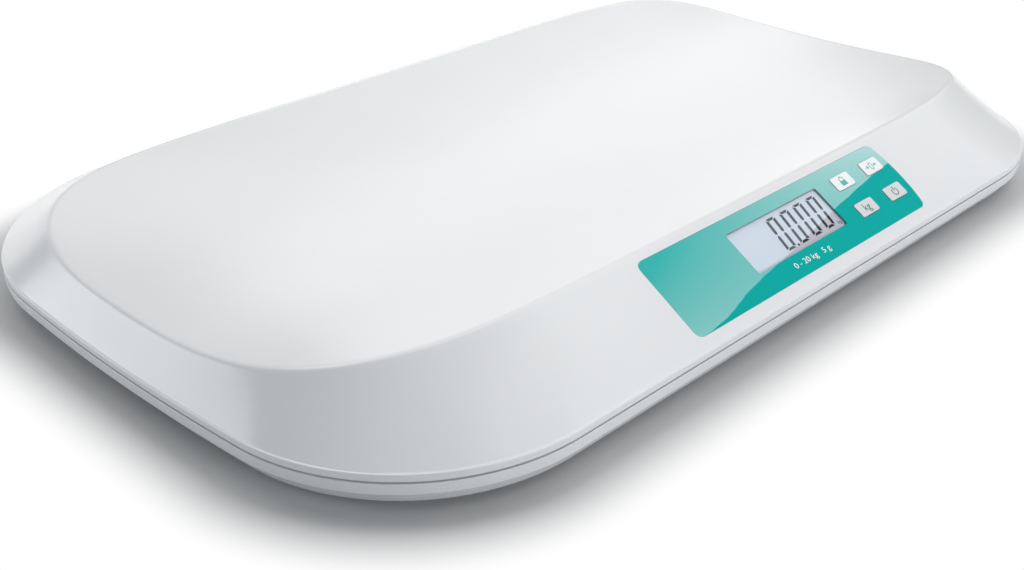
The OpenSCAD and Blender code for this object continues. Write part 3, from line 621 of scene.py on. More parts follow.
class Form:
    """The case's plan outline, the tray's edge and the dish, all round the middle."""

    def __init__(self, case, ends=18, corners=34, sides=24):
        self.case = case
        self.half_l, self.half_d = case.case_length / 2, case.case_depth / 2
        self.end_x = self.half_l - case.end_radius
        back = self._quarter(case.corner_back, ends, corners, sides)
        front = self._quarter(case.corner_radius, ends, corners, sides)
        self.turn = np.concatenate([
            back, [math.pi / 2], math.pi - back[:0:-1],
            math.pi + front, [1.5 * math.pi], 2 * math.pi - front[:0:-1]])
        self.cos, self.sin = np.cos(self.turn), np.sin(self.turn)
        self.c = np.maximum(np.abs(self.cos), 1e-9)
        self.s = np.maximum(np.abs(self.sin), 1e-9)
        self.radius = np.where(self.sin > 0, case.corner_back, case.corner_radius)
        self.corner_x, self.corner_y, self.corner_a = self._corner(self.radius)
        self.edge_rho = self._edge()
        self.edge_z = self._edge_height()
        self.soft = np.minimum(case.edge_soft, self.skirt_length() / 4)

    def _corner(self, radius):
        """Middle of a corner's arc, and the direction in which it meets the end's arc."""
        y = self.half_d - radius
        x = self.end_x + np.sqrt((self.case.end_radius - radius) ** 2 - y ** 2)
        return x, y, np.arctan2(y, x - self.end_x)

    def _quarter(self, radius, ends, corners, sides):
        """Directions of a quarter's points, from the end's middle to the side's."""
        x, y, meet = self._corner(radius)
        big = self.case.end_radius
        a = meet * np.arange(ends) / ends
        end = np.arctan2(big * np.sin(a), self.end_x + big * np.cos(a))
        a = meet + (math.pi / 2 - meet) * np.arange(corners) / corners
        corner = np.arctan2(y + radius * np.sin(a), x + radius * np.cos(a))
        side = np.arctan2(self.half_d, x * (1 - np.arange(sides) / sides))
        return np.concatenate([end, corner, side])

    def rim(self, inset):
        """Distance from the middle to the outline, drawn in by inset."""
        side = (self.half_d - inset) / self.s
        dot = self.end_x * self.c
        big = self.case.end_radius - inset
        end = dot + np.sqrt(big ** 2 - self.end_x ** 2 + dot ** 2)
        dot = self.corner_x * self.c + self.corner_y * self.s
        root = (self.radius - inset) ** 2 - self.corner_x ** 2 - self.corner_y ** 2 + dot ** 2
        corner = dot + np.sqrt(np.maximum(root, 0))
        on_end = end * self.s <= big * np.sin(self.corner_a)
        return np.where(side * self.c <= self.corner_x, side, np.where(on_end, end, corner))

    def _edge(self):
        """Distance from the middle to the tray's edge, a squared oval, found in ten steps."""
        case = self.case
        a = self.half_l - case.skirt_end
        self.b = self.half_d - np.where(self.sin < 0, case.skirt_front, case.skirt_back)
        r = np.minimum(a / self.c, self.b / self.s)
        for _ in range(10):
            px = (r * self.c / a) ** case.tray_nx
            py = (r * self.s / self.b) ** case.tray_ny
            r = r - r * (px + py - 1) / (case.tray_nx * px + case.tray_ny * py)
        return r

    def _edge_height(self):
        """Height of the tray's edge, which rises from the short edges to the long ones."""
        case = self.case
        w = (self.edge_rho * self.sin / self.b) ** 2
        g = case.rise_late
        rise = w * (2 - g + (2 * g - 1) * w - g * w * w)
        return case.seam_height + case.edge_end + (case.edge_side - case.edge_end) * rise

    def skirt_length(self):
        """Length of the skirt's slope, from the crease to the edge."""
        crease = self.rim(self.case.crease_inset)
        return np.hypot(crease - self.edge_rho, self.edge_z - self.crease_z)

    @property
    def crease_z(self):
        """Height of the crease between the band and the skirt."""
        return self.case.seam_height + self.case.band_up

    def dish_z(self, t):
        """Height of the dish, from the middle at 0 to the edge at 1."""
        low = self.case.seam_height + self.case.tray_low
        return low + (self.edge_z - low) * t ** self.case.dish_power

    def ring(self, rho, z):
        """Points all round at a distance and a height."""
        z = np.broadcast_to(z, self.turn.shape)
        return list(zip(rho * self.cos, rho * self.sin, z))

    def skirt(self, share):
        """Distance and height on the skirt, from the crease at 0 to the edge at 1."""
        crease = self.rim(self.case.crease_inset)
        return (
            crease + (self.edge_rho - crease) * share,
            self.crease_z + (self.edge_z - self.crease_z) * share)


def film_outline(panel, grow=0.0):
    """The film's outline: a straight left edge and a bowed right edge."""
    h = panel.label_height / 2 + grow
    r = panel.label_radius + grow
    bow_r = ((panel.label_height / 2) ** 2 + panel.label_bow ** 2) / (2 * panel.label_bow) + grow
    bow_u = panel.label_width / 2 + panel.label_bow - bow_r + grow
    turn_v = h - r
    turn_u = bow_u + math.sqrt((bow_r - r) ** 2 - turn_v ** 2)
    meet = math.degrees(math.atan2(turn_v, turn_u - bow_u))
    left = -panel.label_width / 2 - grow + r
    return (
        arc(turn_u, -turn_v, r, -90, -meet, 6)
        + arc(bow_u, 0, bow_r, -meet, meet, 16)[1:]
        + arc(turn_u, turn_v, r, meet, 90, 6)[1:]
        + arc(left, turn_v, r, 90, 180, 8)
        + arc(left, -turn_v, r, 180, 270, 8))


def key_places(panel):
    """Middle of each key, in the apron's frame."""
    left, low = panel.key_u, panel.key_v
    right, high = left + panel.key_pitch_u, low + panel.key_pitch_v
    return {"lock": (left, high), "zero": (right, high), "unit": (left, low), "power": (right, low)}


# The tray moulding, in metres: the bevel of its lip, how far below the crease its flat band
# ends, how far below it the rounding starts, and how near that comes to a sharp corner
TRAY_LIP, BAND_END, CREASE_ROUND, CREASE_NEAR = 0.0005, 0.0012, 0.0007, 0.00003
# The base's tongue, in metres: its rise over the parting line, its thickness, and its play
TONGUE_RISE, TONGUE_WALL, TONGUE_PLAY = 0.0012, 0.002, 0.0003


def tray_skin(form):
    """The upper moulding: inner face, band, step, sloping skirt, softened edge and dish."""
    case = form.case
    top = case.seam_height + case.seam_gap / 2
    crease = form.crease_z
    rings = [
        form.ring(form.edge_rho * t, form.dish_z(t) - case.wall) for t in (0.3, 0.6, 0.8, 0.92)]
    rho, z = form.skirt(1.0)
    run, rise = form.rim(case.crease_inset) - rho, crease - z
    size = np.hypot(run, rise)
    under = (rho + case.wall * rise / size, z - case.wall * run / size)
    inner = form.rim(case.wall)
    rings += [
        form.ring(*under),
        form.ring(inner, under[1] + (inner - under[0]) * rise / run),
        form.ring(inner, top),
        form.ring(form.rim(TRAY_LIP), top),
        form.ring(form.rim(0.0), top + TRAY_LIP),
        form.ring(form.rim(0.0), crease - BAND_END)]
    step = bend((0.0, CREASE_ROUND), (CREASE_NEAR, CREASE_NEAR), (case.crease_inset, 0.0))
    rings += [form.ring(form.rim(inset), crease - drop) for inset, drop in step]
    start = 1 - form.soft / form.skirt_length()
    shares = (0.015, 0.04, 0.2, 0.4, 0.6, 0.8, start - 0.02)
    rings += [form.ring(*form.skirt(share)) for share in shares]
    inward = 1 - form.soft / form.edge_rho
    edge = bend(
        form.skirt(start), (form.edge_rho, form.edge_z),
        (form.edge_rho * inward, form.dish_z(inward)))
    rings += [form.ring(*place) for place in edge]
    # The dish's first ring lies close to the softened edge, the others are evenly spaced
    for share in (0.992, *(1 - k / 34 for k in range(2, 34))):
        t = inward * share
        rings.append(form.ring(form.edge_rho * t, form.dish_z(t)))
    low = case.seam_height + case.tray_low
    return loft("tray_shell", (0, 0, low - case.wall), rings, (0, 0, low))


def base_skin(form):
    """The base moulding: flat underside, drawn-in flank, band, and a tongue inside."""
    case = form.case
    low = case.base_height
    top = case.seam_height - case.seam_gap / 2
    band = case.seam_height - case.band_down
    tongue = case.seam_height + TONGUE_RISE
    outer = case.wall + TONGUE_PLAY
    inner = outer + TONGUE_WALL
    # Insets and heights of the underside, flank, band, lip, tongue and inner face
    profile = (
        (case.base_inset, low), (case.base_inset - 0.0003, low + 0.0001),
        (0.0013, band - 0.00025), (0.0005, band + 0.00012), (0.0001, band + 0.0004),
        (0.0, band + 0.0008), (0.0, top - 0.0001), (0.0001, top),
        (outer, top), (outer, tongue), (inner, tongue), (inner, band + 0.001),
        (case.base_inset + case.wall * 0.8, low + case.wall))
    rings = [form.ring(form.rim(inset), z) for inset, z in profile]
    return loft("base_shell", None, rings, (0, 0, low + case.wall))


# ---------------------------------------------------------------- operators


def dress(material, *nodes):
    """Gives CAD nodes their finish."""
    for node in nodes:
        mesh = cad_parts[node].data
        mesh.materials.clear()
        mesh.materials.append(material)


def at_corners(stem):
    """Names of four like nodes, one near each corner of the case."""
    return [f"{stem}_{spot}" for spot in SPOTS]


def settle(obj, material, body=BODY):
    """Gives a piece its finish and puts it on a body."""
    obj.data.materials.clear()
    obj.data.materials.append(material)
    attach(obj, body)
    return obj


# How far a cutting form reaches in through the apron, and stands proud of a face, in metres
THROUGH, PROUD = 0.006, 0.001
# Play round the film and round the display's frame, in metres
FILM_PLAY, FRAME_PLAY = 0.00015, 0.0002
# How far the lens reaches past the window, and the corner radius of both, in metres
LENS_EDGE, WINDOW_CORNER = 0.0019, 0.0015
# Edges sharper than this many degrees stay sharp on the two mouldings
SHELL_SHARP = 28.0


class BABYSCALE_OT_tray(Operator):
    """Builds the smooth tray moulding with its panel pocket, window and key openings"""

    bl_idname = "baby_scale.tray"
    bl_label = "Tray moulding"

    def execute(self, context):
        panel = context.scene.baby_scale_panel
        apron = Apron(context)
        place = apron.matrix()
        middle = panel.window_u, panel.window_v
        shell = tray_skin(Form(context.scene.baby_scale_case))
        film = film_outline(panel, FILM_PLAY)
        carve(shell, [prism(film, -panel.film_thickness, PROUD, place)])
        lens = round_rectangle(
            panel.window_width + 2 * LENS_EDGE, panel.window_height + 2 * LENS_EDGE,
            WINDOW_CORNER, *middle)
        low, high = apron.extent("display_frame")
        pocket = rectangle(
            high[0] - low[0] + 2 * FRAME_PLAY, high[1] - low[1] + 2 * FRAME_PLAY, *middle)
        holes = [
            prism(lens, apron.extent("display_lens")[0][2], PROUD, place),
            prism(pocket, -THROUGH, apron.height_of("display_seal"), place)]
        for u, v in key_places(panel).values():
            hole = round_rectangle(
                panel.key_width + 2 * panel.key_gap, panel.key_height + 2 * panel.key_gap,
                panel.key_radius + panel.key_gap, u, v)
            holes.append(prism(hole, -THROUGH, PROUD, place))
        carve(shell, holes)
        window = round_rectangle(panel.window_width, panel.window_height, WINDOW_CORNER, *middle)
        carve(shell, [prism(window, -THROUGH, PROUD, place)])
        smooth(shell, SHELL_SHARP)
        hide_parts("upper_case")
        tones = context.scene.baby_scale_colours
        plastic = moulded("shell_plastic", tones.shell, 0.24, 1500.0, 0.000008)
        settle(shell, plastic)
        return {"FINISHED"}


def screw_columns(case):
    """Places of the ten screw columns: four by the long edges, four by the ends, two inside."""
    from_end, from_edge, apart, inside = 0.105, 0.033, 0.045, 0.080
    half_l, half_d = case.case_length / 2, case.case_depth / 2
    spots = ((half_l - from_end, half_d - from_edge), (half_l - from_edge, apart))
    columns = [(sx * x, sy * y) for x, y in spots for sx in SIDES for sy in SIDES]
    return columns + [(side * inside, 0.0) for side in SIDES]


# The base, all in metres. Battery bay: width, length, wall, and room over the cells
BAY_W, BAY_L, BAY_WALL, CELL_ROOM = 0.062, 0.0577, 0.002, 0.0008
# Door: gap round it, and width and thickness of the ledge it lies on
DOOR_GAP, LEDGE_W, LEDGE_T = 0.0004, 0.003, 0.002
# Door screws: radius and height of their posts, radius and depth of the bores
POST_R, POST_H, DOOR_BORE_R, DOOR_BORE_H = 0.004, 0.008, 0.0018, 0.007
# Case screws: radii of columns, wells and bores, and rise of columns and bores over the seam
COLUMN_R, WELL_R, BORE_R, COLUMN_RISE, BORE_RISE = 0.0052, 0.0037, 0.0017, 0.002, 0.003
# Depth of the case screws' wells, and how far their columns start inside the floor
WELL_DEPTH, COLUMN_SINK = 0.006, 0.0005
# Feet: radius of the holes, and radius, reach, start and end of the holder screws' bores
FOOT_HOLE_R, PIN_R, PIN_REACH, PIN_LOW, PIN_HIGH = 0.0195, 0.00115, 0.0268, 0.0012, 0.02


class BABYSCALE_OT_base(Operator):
    """Builds the smooth base moulding with its screw wells, foot holes and battery bay"""

    bl_idname = "baby_scale.base"
    bl_label = "Base moulding"

    def execute(self, context):
        case = context.scene.baby_scale_case
        shell = base_skin(Form(case, 14, 26, 16))
        low, seam = case.base_height, case.seam_height
        below = low - PROUD
        door_low, door_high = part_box("battery_door")
        door_w, door_l, door_t = door_high - door_low
        inside = low + door_t
        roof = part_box("cell_1")[1].z + CELL_ROOM
        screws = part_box("door_screws")
        screw_y = screws[1].y - (screws[1].x - screws[0].x) / 2
        door_screws = [(0.0, side * screw_y) for side in SIDES]
        feet = [sum(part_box(node), Vector()) / 2 for node in at_corners("foot")]
        pins = [(foot.x + side * PIN_REACH, foot.y) for foot in feet for side in SIDES]
        columns = screw_columns(case)
        walls = rectangle(BAY_W + 2 * BAY_WALL, BAY_L + 2 * BAY_WALL)
        carve(shell, [prism(walls, inside, roof + BAY_WALL)], "UNION")
        ledge = rectangle(door_w + 2 * LEDGE_W, door_l + 2 * LEDGE_W)
        carve(shell, [prism(ledge, inside, inside + LEDGE_T)], "UNION")
        carve(shell, [
            *rods(COLUMN_R, 40, columns, low + COLUMN_SINK, seam + COLUMN_RISE),
            *rods(POST_R, 32, door_screws, inside, inside + POST_H)], "UNION")
        carve(shell, [
            prism(rectangle(BAY_W, BAY_L), below, roof),
            *rods(WELL_R, 40, columns, below, low + WELL_DEPTH),
            *rods(FOOT_HOLE_R, 72, [foot.xy for foot in feet], below, low + case.wall + PROUD),
            *rods(PIN_R, 24, pins, low + PIN_LOW, low + PIN_HIGH)])
        carve(shell, [
            prism(rectangle(door_w + 2 * DOOR_GAP, door_l + 2 * DOOR_GAP), below, inside),
            *rods(BORE_R, 32, columns, low, seam + BORE_RISE)])
        carve(shell, rods(DOOR_BORE_R, 32, door_screws, below, inside + DOOR_BORE_H))
        smooth(shell, SHELL_SHARP)
        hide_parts("base_case")
        tones = context.scene.baby_scale_colours
        plastic = moulded("base_plastic", tones.base, 0.26, 1500.0, 0.000008)
        settle(shell, plastic)
        return {"FINISHED"}


# Prints, in metres: how far a flat one stands over its face, and its thickness
PRINT_LIFT, PRINT_THICK = 0.00002, 0.00003
# Letters: height of their middle over the face, and half their thickness
LETTER_LIFT, LETTER_HALF = 0.00003, 0.00001
# The display's first digit: its left side, its foot, and its lean
DIGIT_U, DIGIT_V, DIGIT_LEAN = -0.0102, -0.0073, 0.115
# The point: its size, its middle's distance after a digit, and its height over the foot
POINT_SIZE, POINT_AFTER, POINT_RISE = 0.0013, 0.0018, 0.0006


def digit_zero(u, v, panel):
    """The six lit strokes of a nought, mitred, with its lower left corner at (u, v)."""
    w, h, s = panel.digit_width, panel.digit_height, panel.digit_stroke
    gap, cut = 0.00014, 0.0006
    middle, inner = h / 2 + gap, h - panel.digit_level
    level = [(cut + gap, h), (w - cut - gap, h), (w - s - gap, inner), (s + gap, inner)]
    upright = [
        (0, h - cut - gap), (s, inner - gap), (s, middle + s / 2), (s / 2, middle),
        (0, middle + s / 2)]
    strokes = [level, [(x, h - y) for x, y in level]]
    for side in (upright, [(w - x, y) for x, y in upright]):
        strokes += [side, [(x, h - y) for x, y in side]]
    return [[(u + x, v + y) for x, y in stroke] for stroke in strokes]


def slanted(outline, base, lean):
    """An outline that leans to the right from its base."""
    return [(x + (y - base) * lean, y) for x, y in outline]


def printed(name, outlines, apron, face, material, body=BODY):
    """A thin print of flat outlines, lying on a face of the panel."""
    low = face + PRINT_LIFT
    parts = [prism(o, low, low + PRINT_THICK, apron.matrix()) for o in outlines]
    return settle(joined(name, parts), material, body)


def lettering(name, text, size, spot, apron, face, material, body=BODY, wide=1.0):
    """Plain numbers or a unit as a thin print, centred on a spot of a face of the panel."""
    curve = bpy.data.curves.new(name, "FONT")
    curve.body, curve.size, curve.extrude = text, size, LETTER_HALF
    curve.align_x, curve.align_y = "CENTER", "CENTER"
    holder = bpy.data.objects.new(name + "_curve", curve)
    bpy.context.scene.collection.objects.link(holder)
    middle = Matrix.Translation((*spot, face + LETTER_LIFT))
    holder.matrix_world = apron.matrix() @ middle @ Matrix.Diagonal((wide, 1, 1, 1))
    bpy.context.view_layer.update()
    evaluated = holder.evaluated_get(bpy.context.evaluated_depsgraph_get())
    mesh = bpy.data.meshes.new_from_object(evaluated)
    mesh.transform(holder.matrix_world)
    bpy.data.objects.remove(holder)
    bpy.data.curves.remove(curve)
    obj = bpy.data.objects.new(name, mesh)
    bpy.context.scene.collection.objects.link(obj)
    return settle(obj, material, body)


class BABYSCALE_OT_front_panel(Operator):
    """Finishes the film, the lens and the display, and prints the digits and numbers"""

    bl_idname = "baby_scale.front_panel"
    bl_label = "Front panel"

    def execute(self, context):
        panel = context.scene.baby_scale_panel
        tones = context.scene.baby_scale_colours
        apron = Apron(context)
        dress(film_print_and_reflection(context, apron), "panel_film")
        dress(clear_lens(), "display_lens")
        dress(display_shade_and_reflection(context, apron), "display_glass")
        dress(soft_rubber("seal_foam", (0.09, 0.09, 0.10)), "display_seal")
        ink = segment_ink_and_reflection(context, apron)
        face = apron.height_of("display_glass")
        outlines = []
        for k in range(4):
            digit = digit_zero(DIGIT_U + k * panel.digit_pitch, DIGIT_V, panel)
            outlines += [slanted(stroke, DIGIT_V, DIGIT_LEAN) for stroke in digit]
        point_u = DIGIT_U + panel.digit_width + POINT_AFTER
        outlines.append(rectangle(POINT_SIZE, POINT_SIZE, point_u, DIGIT_V + POINT_RISE))
        printed("lcd_digits", outlines, apron, face, ink)
        lettering("lcd_unit", "kg", 0.0030, (0.0340, -0.0069), apron, face, ink)
        numbers = plain_ink("print_white", tones.numbers, 900.0, 0.97, 0.4)
        lettering(
            "range_numbers", "0 - 20 kg   5 g", 0.0043, (-0.0009, -0.0156), apron, 0.0,
            numbers, wide=1.22)
        return {"FINISHED"}


def curved_stroke(x, y, outer, inner, start, end, steps):
    """A curved stroke, as short four-sided pieces."""
    a, b = arc(x, y, outer, start, end, steps), arc(x, y, inner, start, end, steps)
    return [[b[k], a[k], a[k + 1], b[k + 1]] for k in range(steps)]


# The marks are drawn in millimetres round the middle of their key


def lock_mark():
    """A closed padlock."""
    body = round_rectangle(4.4, 2.9, 0.3, 0.0, -1.2, 3)
    legs = [bar(side * 1.45 - 0.25, 0.2, side * 1.45 + 0.25, 1.2) for side in SIDES]
    return [body, *legs, *curved_stroke(0.0, 1.2, 1.7, 1.2, 0, 180, 14)]


def power_mark():
    """An open ring with an upright stroke."""
    return [bar(-0.3, 0.3, 0.3, 2.9), *curved_stroke(0.0, -0.1, 2.4, 1.84, 125, 415, 26)]


def zero_mark():
    """A nought between two arrowheads, for setting the display to nought."""
    strokes = curved_stroke(0.0, 1.0, 1.3, 0.8, 0, 180, 12)
    strokes += curved_stroke(0.0, -1.0, 1.3, 0.8, 180, 360, 12)
    strokes += [bar(side * 1.05 - 0.25, -1.0, side * 1.05 + 0.25, 1.0) for side in SIDES]
    for side in SIDES:
        tip, back, tail = side * 2.1, side * 3.4, side * 4.8
        strokes.append([(tip, 0.0), (back, -1.2), (back, 1.2)])
        strokes.append(bar(min(back, tail), -0.28, max(back, tail), 0.28))
    return strokes


def on_key(outlines, spot):
    """A mark's outlines at its key's middle, in metres."""
    u, v = spot
    return [[(u + x * MM, v + y * MM) for x, y in outline] for outline in outlines]


class BABYSCALE_OT_keys(Operator):
    """Finishes the four keys and prints their marks"""

    bl_idname = "baby_scale.keys"
    bl_label = "Keys"

    def execute(self, context):
        apron = Apron(context)
        places = key_places(context.scene.baby_scale_panel)
        tones = context.scene.baby_scale_colours
        cap = key_cap(context, apron)
        # The upper keys' marks are painted lighter, as a reflection over them
        upper = plain_ink("reflected_mark_ink", tones.mark, 1200.0, 0.95, 0.45)
        lower = plain_ink("deep_mark_ink", tones.mark_deep, 1200.0, 0.95, 0.45)
        stems = moulded("stem_plastic", (0.70, 0.70, 0.66), 0.4)
        for name in places:
            dress(cap, f"key_{name}")
            dress(stems, f"plunger_{name}")
        face = apron.height_of("key_lock")
        marks = {
            "lock": (lock_mark, upper), "power": (power_mark, lower), "zero": (zero_mark, upper)}
        for name, (draw, ink) in marks.items():
            outlines = on_key(draw(), places[name])
            printed(f"{name}_mark", outlines, apron, face, ink, f"key_{name}")
        lettering(
            "unit_mark", "kg", 0.0062, places["unit"], apron, face, lower, "key_unit")
        dress(moulded("switch_resin", (0.02, 0.02, 0.022), 0.45), "key_switches")
        return {"FINISHED"}


class BABYSCALE_OT_electronics(Operator):
    """Finishes the board, its parts, the display's frame and contact strip, and the leads"""

    bl_idname = "baby_scale.electronics"
    bl_label = "Electronics"

    def execute(self, context):
        natural = moulded("natural_plastic", (0.74, 0.73, 0.66), 0.42)
        dress(natural, "lead_sockets", "display_frame")
        dress(moulded("black_resin", (0.018, 0.018, 0.02), 0.5), "controller_chip", "board_parts")
        dress(board_lacquer(Apron(context)), "circuit_board")
        dress(soft_rubber("contact_rubber", (0.55, 0.22, 0.26)), "elastomer_strip")
        dress(sleeve("red_sleeve", (0.42, 0.03, 0.025)), *at_corners("sensor_lead"))
        dress(sleeve("black_sleeve", (0.02, 0.02, 0.022)), "battery_lead")
        return {"FINISHED"}


class BABYSCALE_OT_power(Operator):
    """Finishes the battery door, the cells and their contacts"""

    bl_idname = "baby_scale.power"
    bl_label = "Battery bay"

    def execute(self, context):
        tones = context.scene.baby_scale_colours
        door = moulded("door_plastic", scaled(tones.base, 0.98), 0.40, 1500.0)
        dress(door, "battery_door")
        dress(wrapped_cell(), *(f"cell_{k}" for k in range(1, 5)))
        plated = metal("plated_contact", (0.72, 0.70, 0.64), 0.26, (0.05, 1.0, 0.05))
        dress(plated, "contact_springs", "contact_plates")
        return {"FINISHED"}


class BABYSCALE_OT_feet(Operator):
    """Finishes the feet, their pads, the load cells, their holders and all screws"""

    bl_idname = "baby_scale.feet"
    bl_label = "Feet and load cells"

    def execute(self, context):
        tones = context.scene.baby_scale_colours
        foot = moulded("foot_plastic", scaled(tones.base, 0.97), 0.42)
        dress(foot, *at_corners("foot"))
        dress(soft_rubber("pad_rubber", (0.045, 0.047, 0.05)), *at_corners("foot_pad"))
        dress(metal("blanked_steel", (0.56, 0.57, 0.58), 0.34), *at_corners("load_cell"))
        dress(moulded("holder_plastic", (0.68, 0.68, 0.65), 0.42), *at_corners("cell_holder"))
        zinc = metal("zinc_plate", (0.60, 0.60, 0.60), 0.30)
        dress(zinc, "case_screws", "holder_screws", "board_screws", "door_screws")
        return {"FINISHED"}


# ---------------------------------------------------------------- stage


class BabyScaleStage(PropertyGroup):
    """The camera and the lights."""

    lens: FloatProperty(name="Lens", description="Focal length in millimetres", default=46.62)
    eye: FloatVectorProperty(
        name="Eye", description="Place of the camera", subtype="TRANSLATION", unit="LENGTH",
        default=(-0.49511, -0.46806, 0.31439))
    azimuth: FloatProperty(
        name="Azimuth", description="Turn of the camera in degrees", default=-45.07)
    elevation: FloatProperty(
        name="Elevation", description="Tilt of the camera in degrees", default=28.32)
    roll: FloatProperty(name="Roll", description="Roll of the camera in degrees", default=-0.48)
    ambient: FloatProperty(name="Ambient", description="Strength of the even light", default=0.14)
    shadow_near: length(
        "Shadow", "Distance from the case at which the floor starts to whiten", 0.002)
    shadow_far: length(
        "White floor", "Distance from the case beyond which the floor is white", 0.035)


PLAIN = (1.0, 1.0, 1.0)
COOL = (0.93, 0.97, 1.0)
SKY = (0.88, 0.95, 1.0)

# Soft boxes: name, azimuth and elevation in degrees, power in watts, colour
LAMPS = (
    ("low_back_left", -135.0, 12.0, 19.0, COOL),
    ("low_back", 180.0, 12.0, 5.4, PLAIN),
    ("high_back", 180.0, 64.0, 11.9, PLAIN),
    ("low_front", 0.0, 12.0, 21.3, COOL),
    ("low_back_right", 135.0, 12.0, 5.4, PLAIN),
    ("back_right", 135.0, 38.0, 5.6, PLAIN),
    ("front_right", 45.0, 38.0, 8.6, PLAIN),
    ("right", 90.0, 38.0, 5.6, PLAIN),
    ("high_right", 90.0, 64.0, 11.7, PLAIN))
# Sizes in metres: the lamps' side and distance, the floor's side, and the camera's near and far
LAMP_SIDE, LAMP_DISTANCE, FLOOR_SIDE, CLIP_NEAR, CLIP_FAR = 1.2, 2.2, 28.0, 0.02, 60.0
# Width of the camera's sensor in millimetres
SENSOR = 36.0


def toward(azimuth, elevation):
    """The direction from the middle at an azimuth and an elevation in degrees."""
    a, e = math.radians(azimuth), math.radians(elevation)
    return Vector((math.sin(a) * math.cos(e), -math.cos(a) * math.cos(e), math.sin(e)))


def camera_axes(stage):
    """Right, up and back of the camera."""
    a, r = math.radians(stage.azimuth), math.radians(stage.roll)
    back = toward(stage.azimuth, stage.elevation)
    right = Vector((math.cos(a), math.sin(a), 0))
    up = back.cross(right)
    return math.cos(r) * right + math.sin(r) * up, math.cos(r) * up - math.sin(r) * right, back


def white_floor(context):
    """Pale floor that takes the shadow near the case and is plain white further out."""
    case = context.scene.baby_scale_case
    stage = context.scene.baby_scale_stage
    tone = context.scene.baby_scale_colours.floor
    f = Finish("pale_floor")
    corner = case.corner_radius
    half = (case.case_length / 2 - corner, case.case_depth / 2 - corner, 0.0)
    past = f.vectors("SUBTRACT", f.vectors("ABSOLUTE", f.place()), half)
    outside = f.vectors("MAXIMUM", past, (0.0, 0.0, 0.0))
    distance = f.vectors("LENGTH", outside, output="Value") - corner
    white = f.step(distance, stage.shadow_near, stage.shadow_far)
    camera, glossy, through = (
        f.node("ShaderNodeLightPath", output=f"Is {ray} Ray")
        for ray in ("Camera", "Glossy", "Transmission"))
    direct = f.maths("MAXIMUM", f.maths("MAXIMUM", camera, glossy), through)
    matte = f.node(
        "ShaderNodeBsdfPrincipled", {},
        {"Base Color": f.blend(f.noise(3.0), scaled(tone, 0.995), tone), "Roughness": 0.8,
         "Specular IOR Level": 0.0})
    bright = f.node("ShaderNodeEmission", {}, {"Color": shade(PLAIN), "Strength": 1.0})
    cover = f.node("ShaderNodeMixShader", {}, {0: white * direct, 1: matte, 2: bright})
    f.node("ShaderNodeOutputMaterial", {}, {"Surface": cover})
    return f.made


def even_light(stage):
    """Even light from all round, with plain white behind the scale for the camera."""
    f = Finish("even_light", "worlds")
    seen = f.node("ShaderNodeLightPath", output="Is Camera Ray")
    white = f.node("ShaderNodeBackground", {}, {"Color": shade(PLAIN), "Strength": 1.0})
    even = f.node("ShaderNodeBackground", {}, {"Color": shade(SKY), "Strength": stage.ambient})
    light = f.node("ShaderNodeMixShader", {}, {0: seen, 1: even, 2: white})
    f.node("ShaderNodeOutputWorld", {}, {"Surface": light})
    return f.made


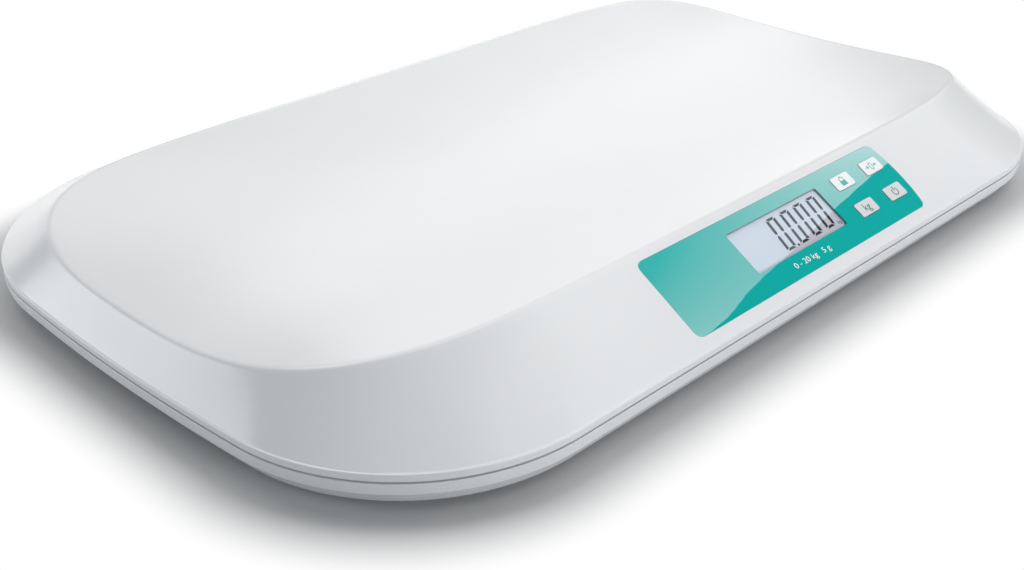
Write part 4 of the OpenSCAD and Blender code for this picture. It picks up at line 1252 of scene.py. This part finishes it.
class BABYSCALE_OT_stage(Operator):
    """Sets the floor, the backdrop light, the soft boxes and the camera"""

    bl_idname = "baby_scale.stage"
    bl_label = "Stage"

    def execute(self, context):
        scene = context.scene
        stage = scene.baby_scale_stage
        corners = [(x, y, 0) for x, y in rectangle(FLOOR_SIDE, FLOOR_SIDE)]
        floor = mesh_object("floor", corners, [[0, 1, 2, 3]])
        floor.data.materials.append(white_floor(context))
        for name, azimuth, elevation, power, tone in LAMPS:
            light = bpy.data.lights.new(name, "AREA")
            light.shape, light.size, light.energy, light.color = "SQUARE", LAMP_SIDE, power, tone
            lamp = bpy.data.objects.new(name, light)
            direction = toward(azimuth, elevation)
            lamp.location = direction * LAMP_DISTANCE
            lamp.rotation_euler = direction.to_track_quat("Z", "Y").to_euler()
            lamp.visible_camera = False
            scene.collection.objects.link(lamp)
        scene.world = even_light(stage)
        scene.view_settings.view_transform = "Standard"
        data = bpy.data.cameras.new("camera")
        data.lens, data.sensor_width = stage.lens, SENSOR
        data.clip_start, data.clip_end = CLIP_NEAR, CLIP_FAR
        camera = bpy.data.objects.new("camera", data)
        turn = Matrix(camera_axes(stage)).transposed().to_4x4()
        turn.translation = Vector(stage.eye)
        camera.matrix_world = turn
        scene.collection.objects.link(camera)
        scene.camera = camera
        return {"FINISHED"}


STEPS = (
    BABYSCALE_OT_tray, BABYSCALE_OT_base, BABYSCALE_OT_front_panel, BABYSCALE_OT_keys,
    BABYSCALE_OT_electronics, BABYSCALE_OT_power, BABYSCALE_OT_feet, BABYSCALE_OT_stage)


class BABYSCALE_PT_panel(Panel):
    """Lists the pieces of the scale"""

    bl_label = "Baby Scale"
    bl_idname = "BABYSCALE_PT_panel"
    bl_space_type = "VIEW_3D"
    bl_region_type = "UI"
    bl_category = "Baby Scale"

    def draw(self, context):
        for step in STEPS:
            self.layout.operator(step.bl_idname)
        for group in GROUPS:
            settings = getattr(context.scene, group)
            box = self.layout.box()
            for name in settings.__annotations__:
                box.prop(settings, name)


GROUPS = {
    "baby_scale_case": BabyScaleCase, "baby_scale_panel": BabyScalePanel,
    "baby_scale_colours": BabyScaleColours, "baby_scale_stage": BabyScaleStage}


def register():
    for group in (*GROUPS.values(), *STEPS, BABYSCALE_PT_panel):
        bpy.utils.register_class(group)
    for name, group in GROUPS.items():
        setattr(bpy.types.Scene, name, PointerProperty(type=group))


def unregister():
    for name in GROUPS:
        delattr(bpy.types.Scene, name)
    for group in reversed((*GROUPS.values(), *STEPS, BABYSCALE_PT_panel)):
        bpy.utils.unregister_class(group)


def main():
    register()
    bpy.ops.baby_scale.tray()
    bpy.ops.baby_scale.base()
    bpy.ops.baby_scale.front_panel()
    bpy.ops.baby_scale.keys()
    bpy.ops.baby_scale.electronics()
    bpy.ops.baby_scale.power()
    bpy.ops.baby_scale.feet()
    bpy.ops.baby_scale.stage()


if __name__ == "__main__":
    main()
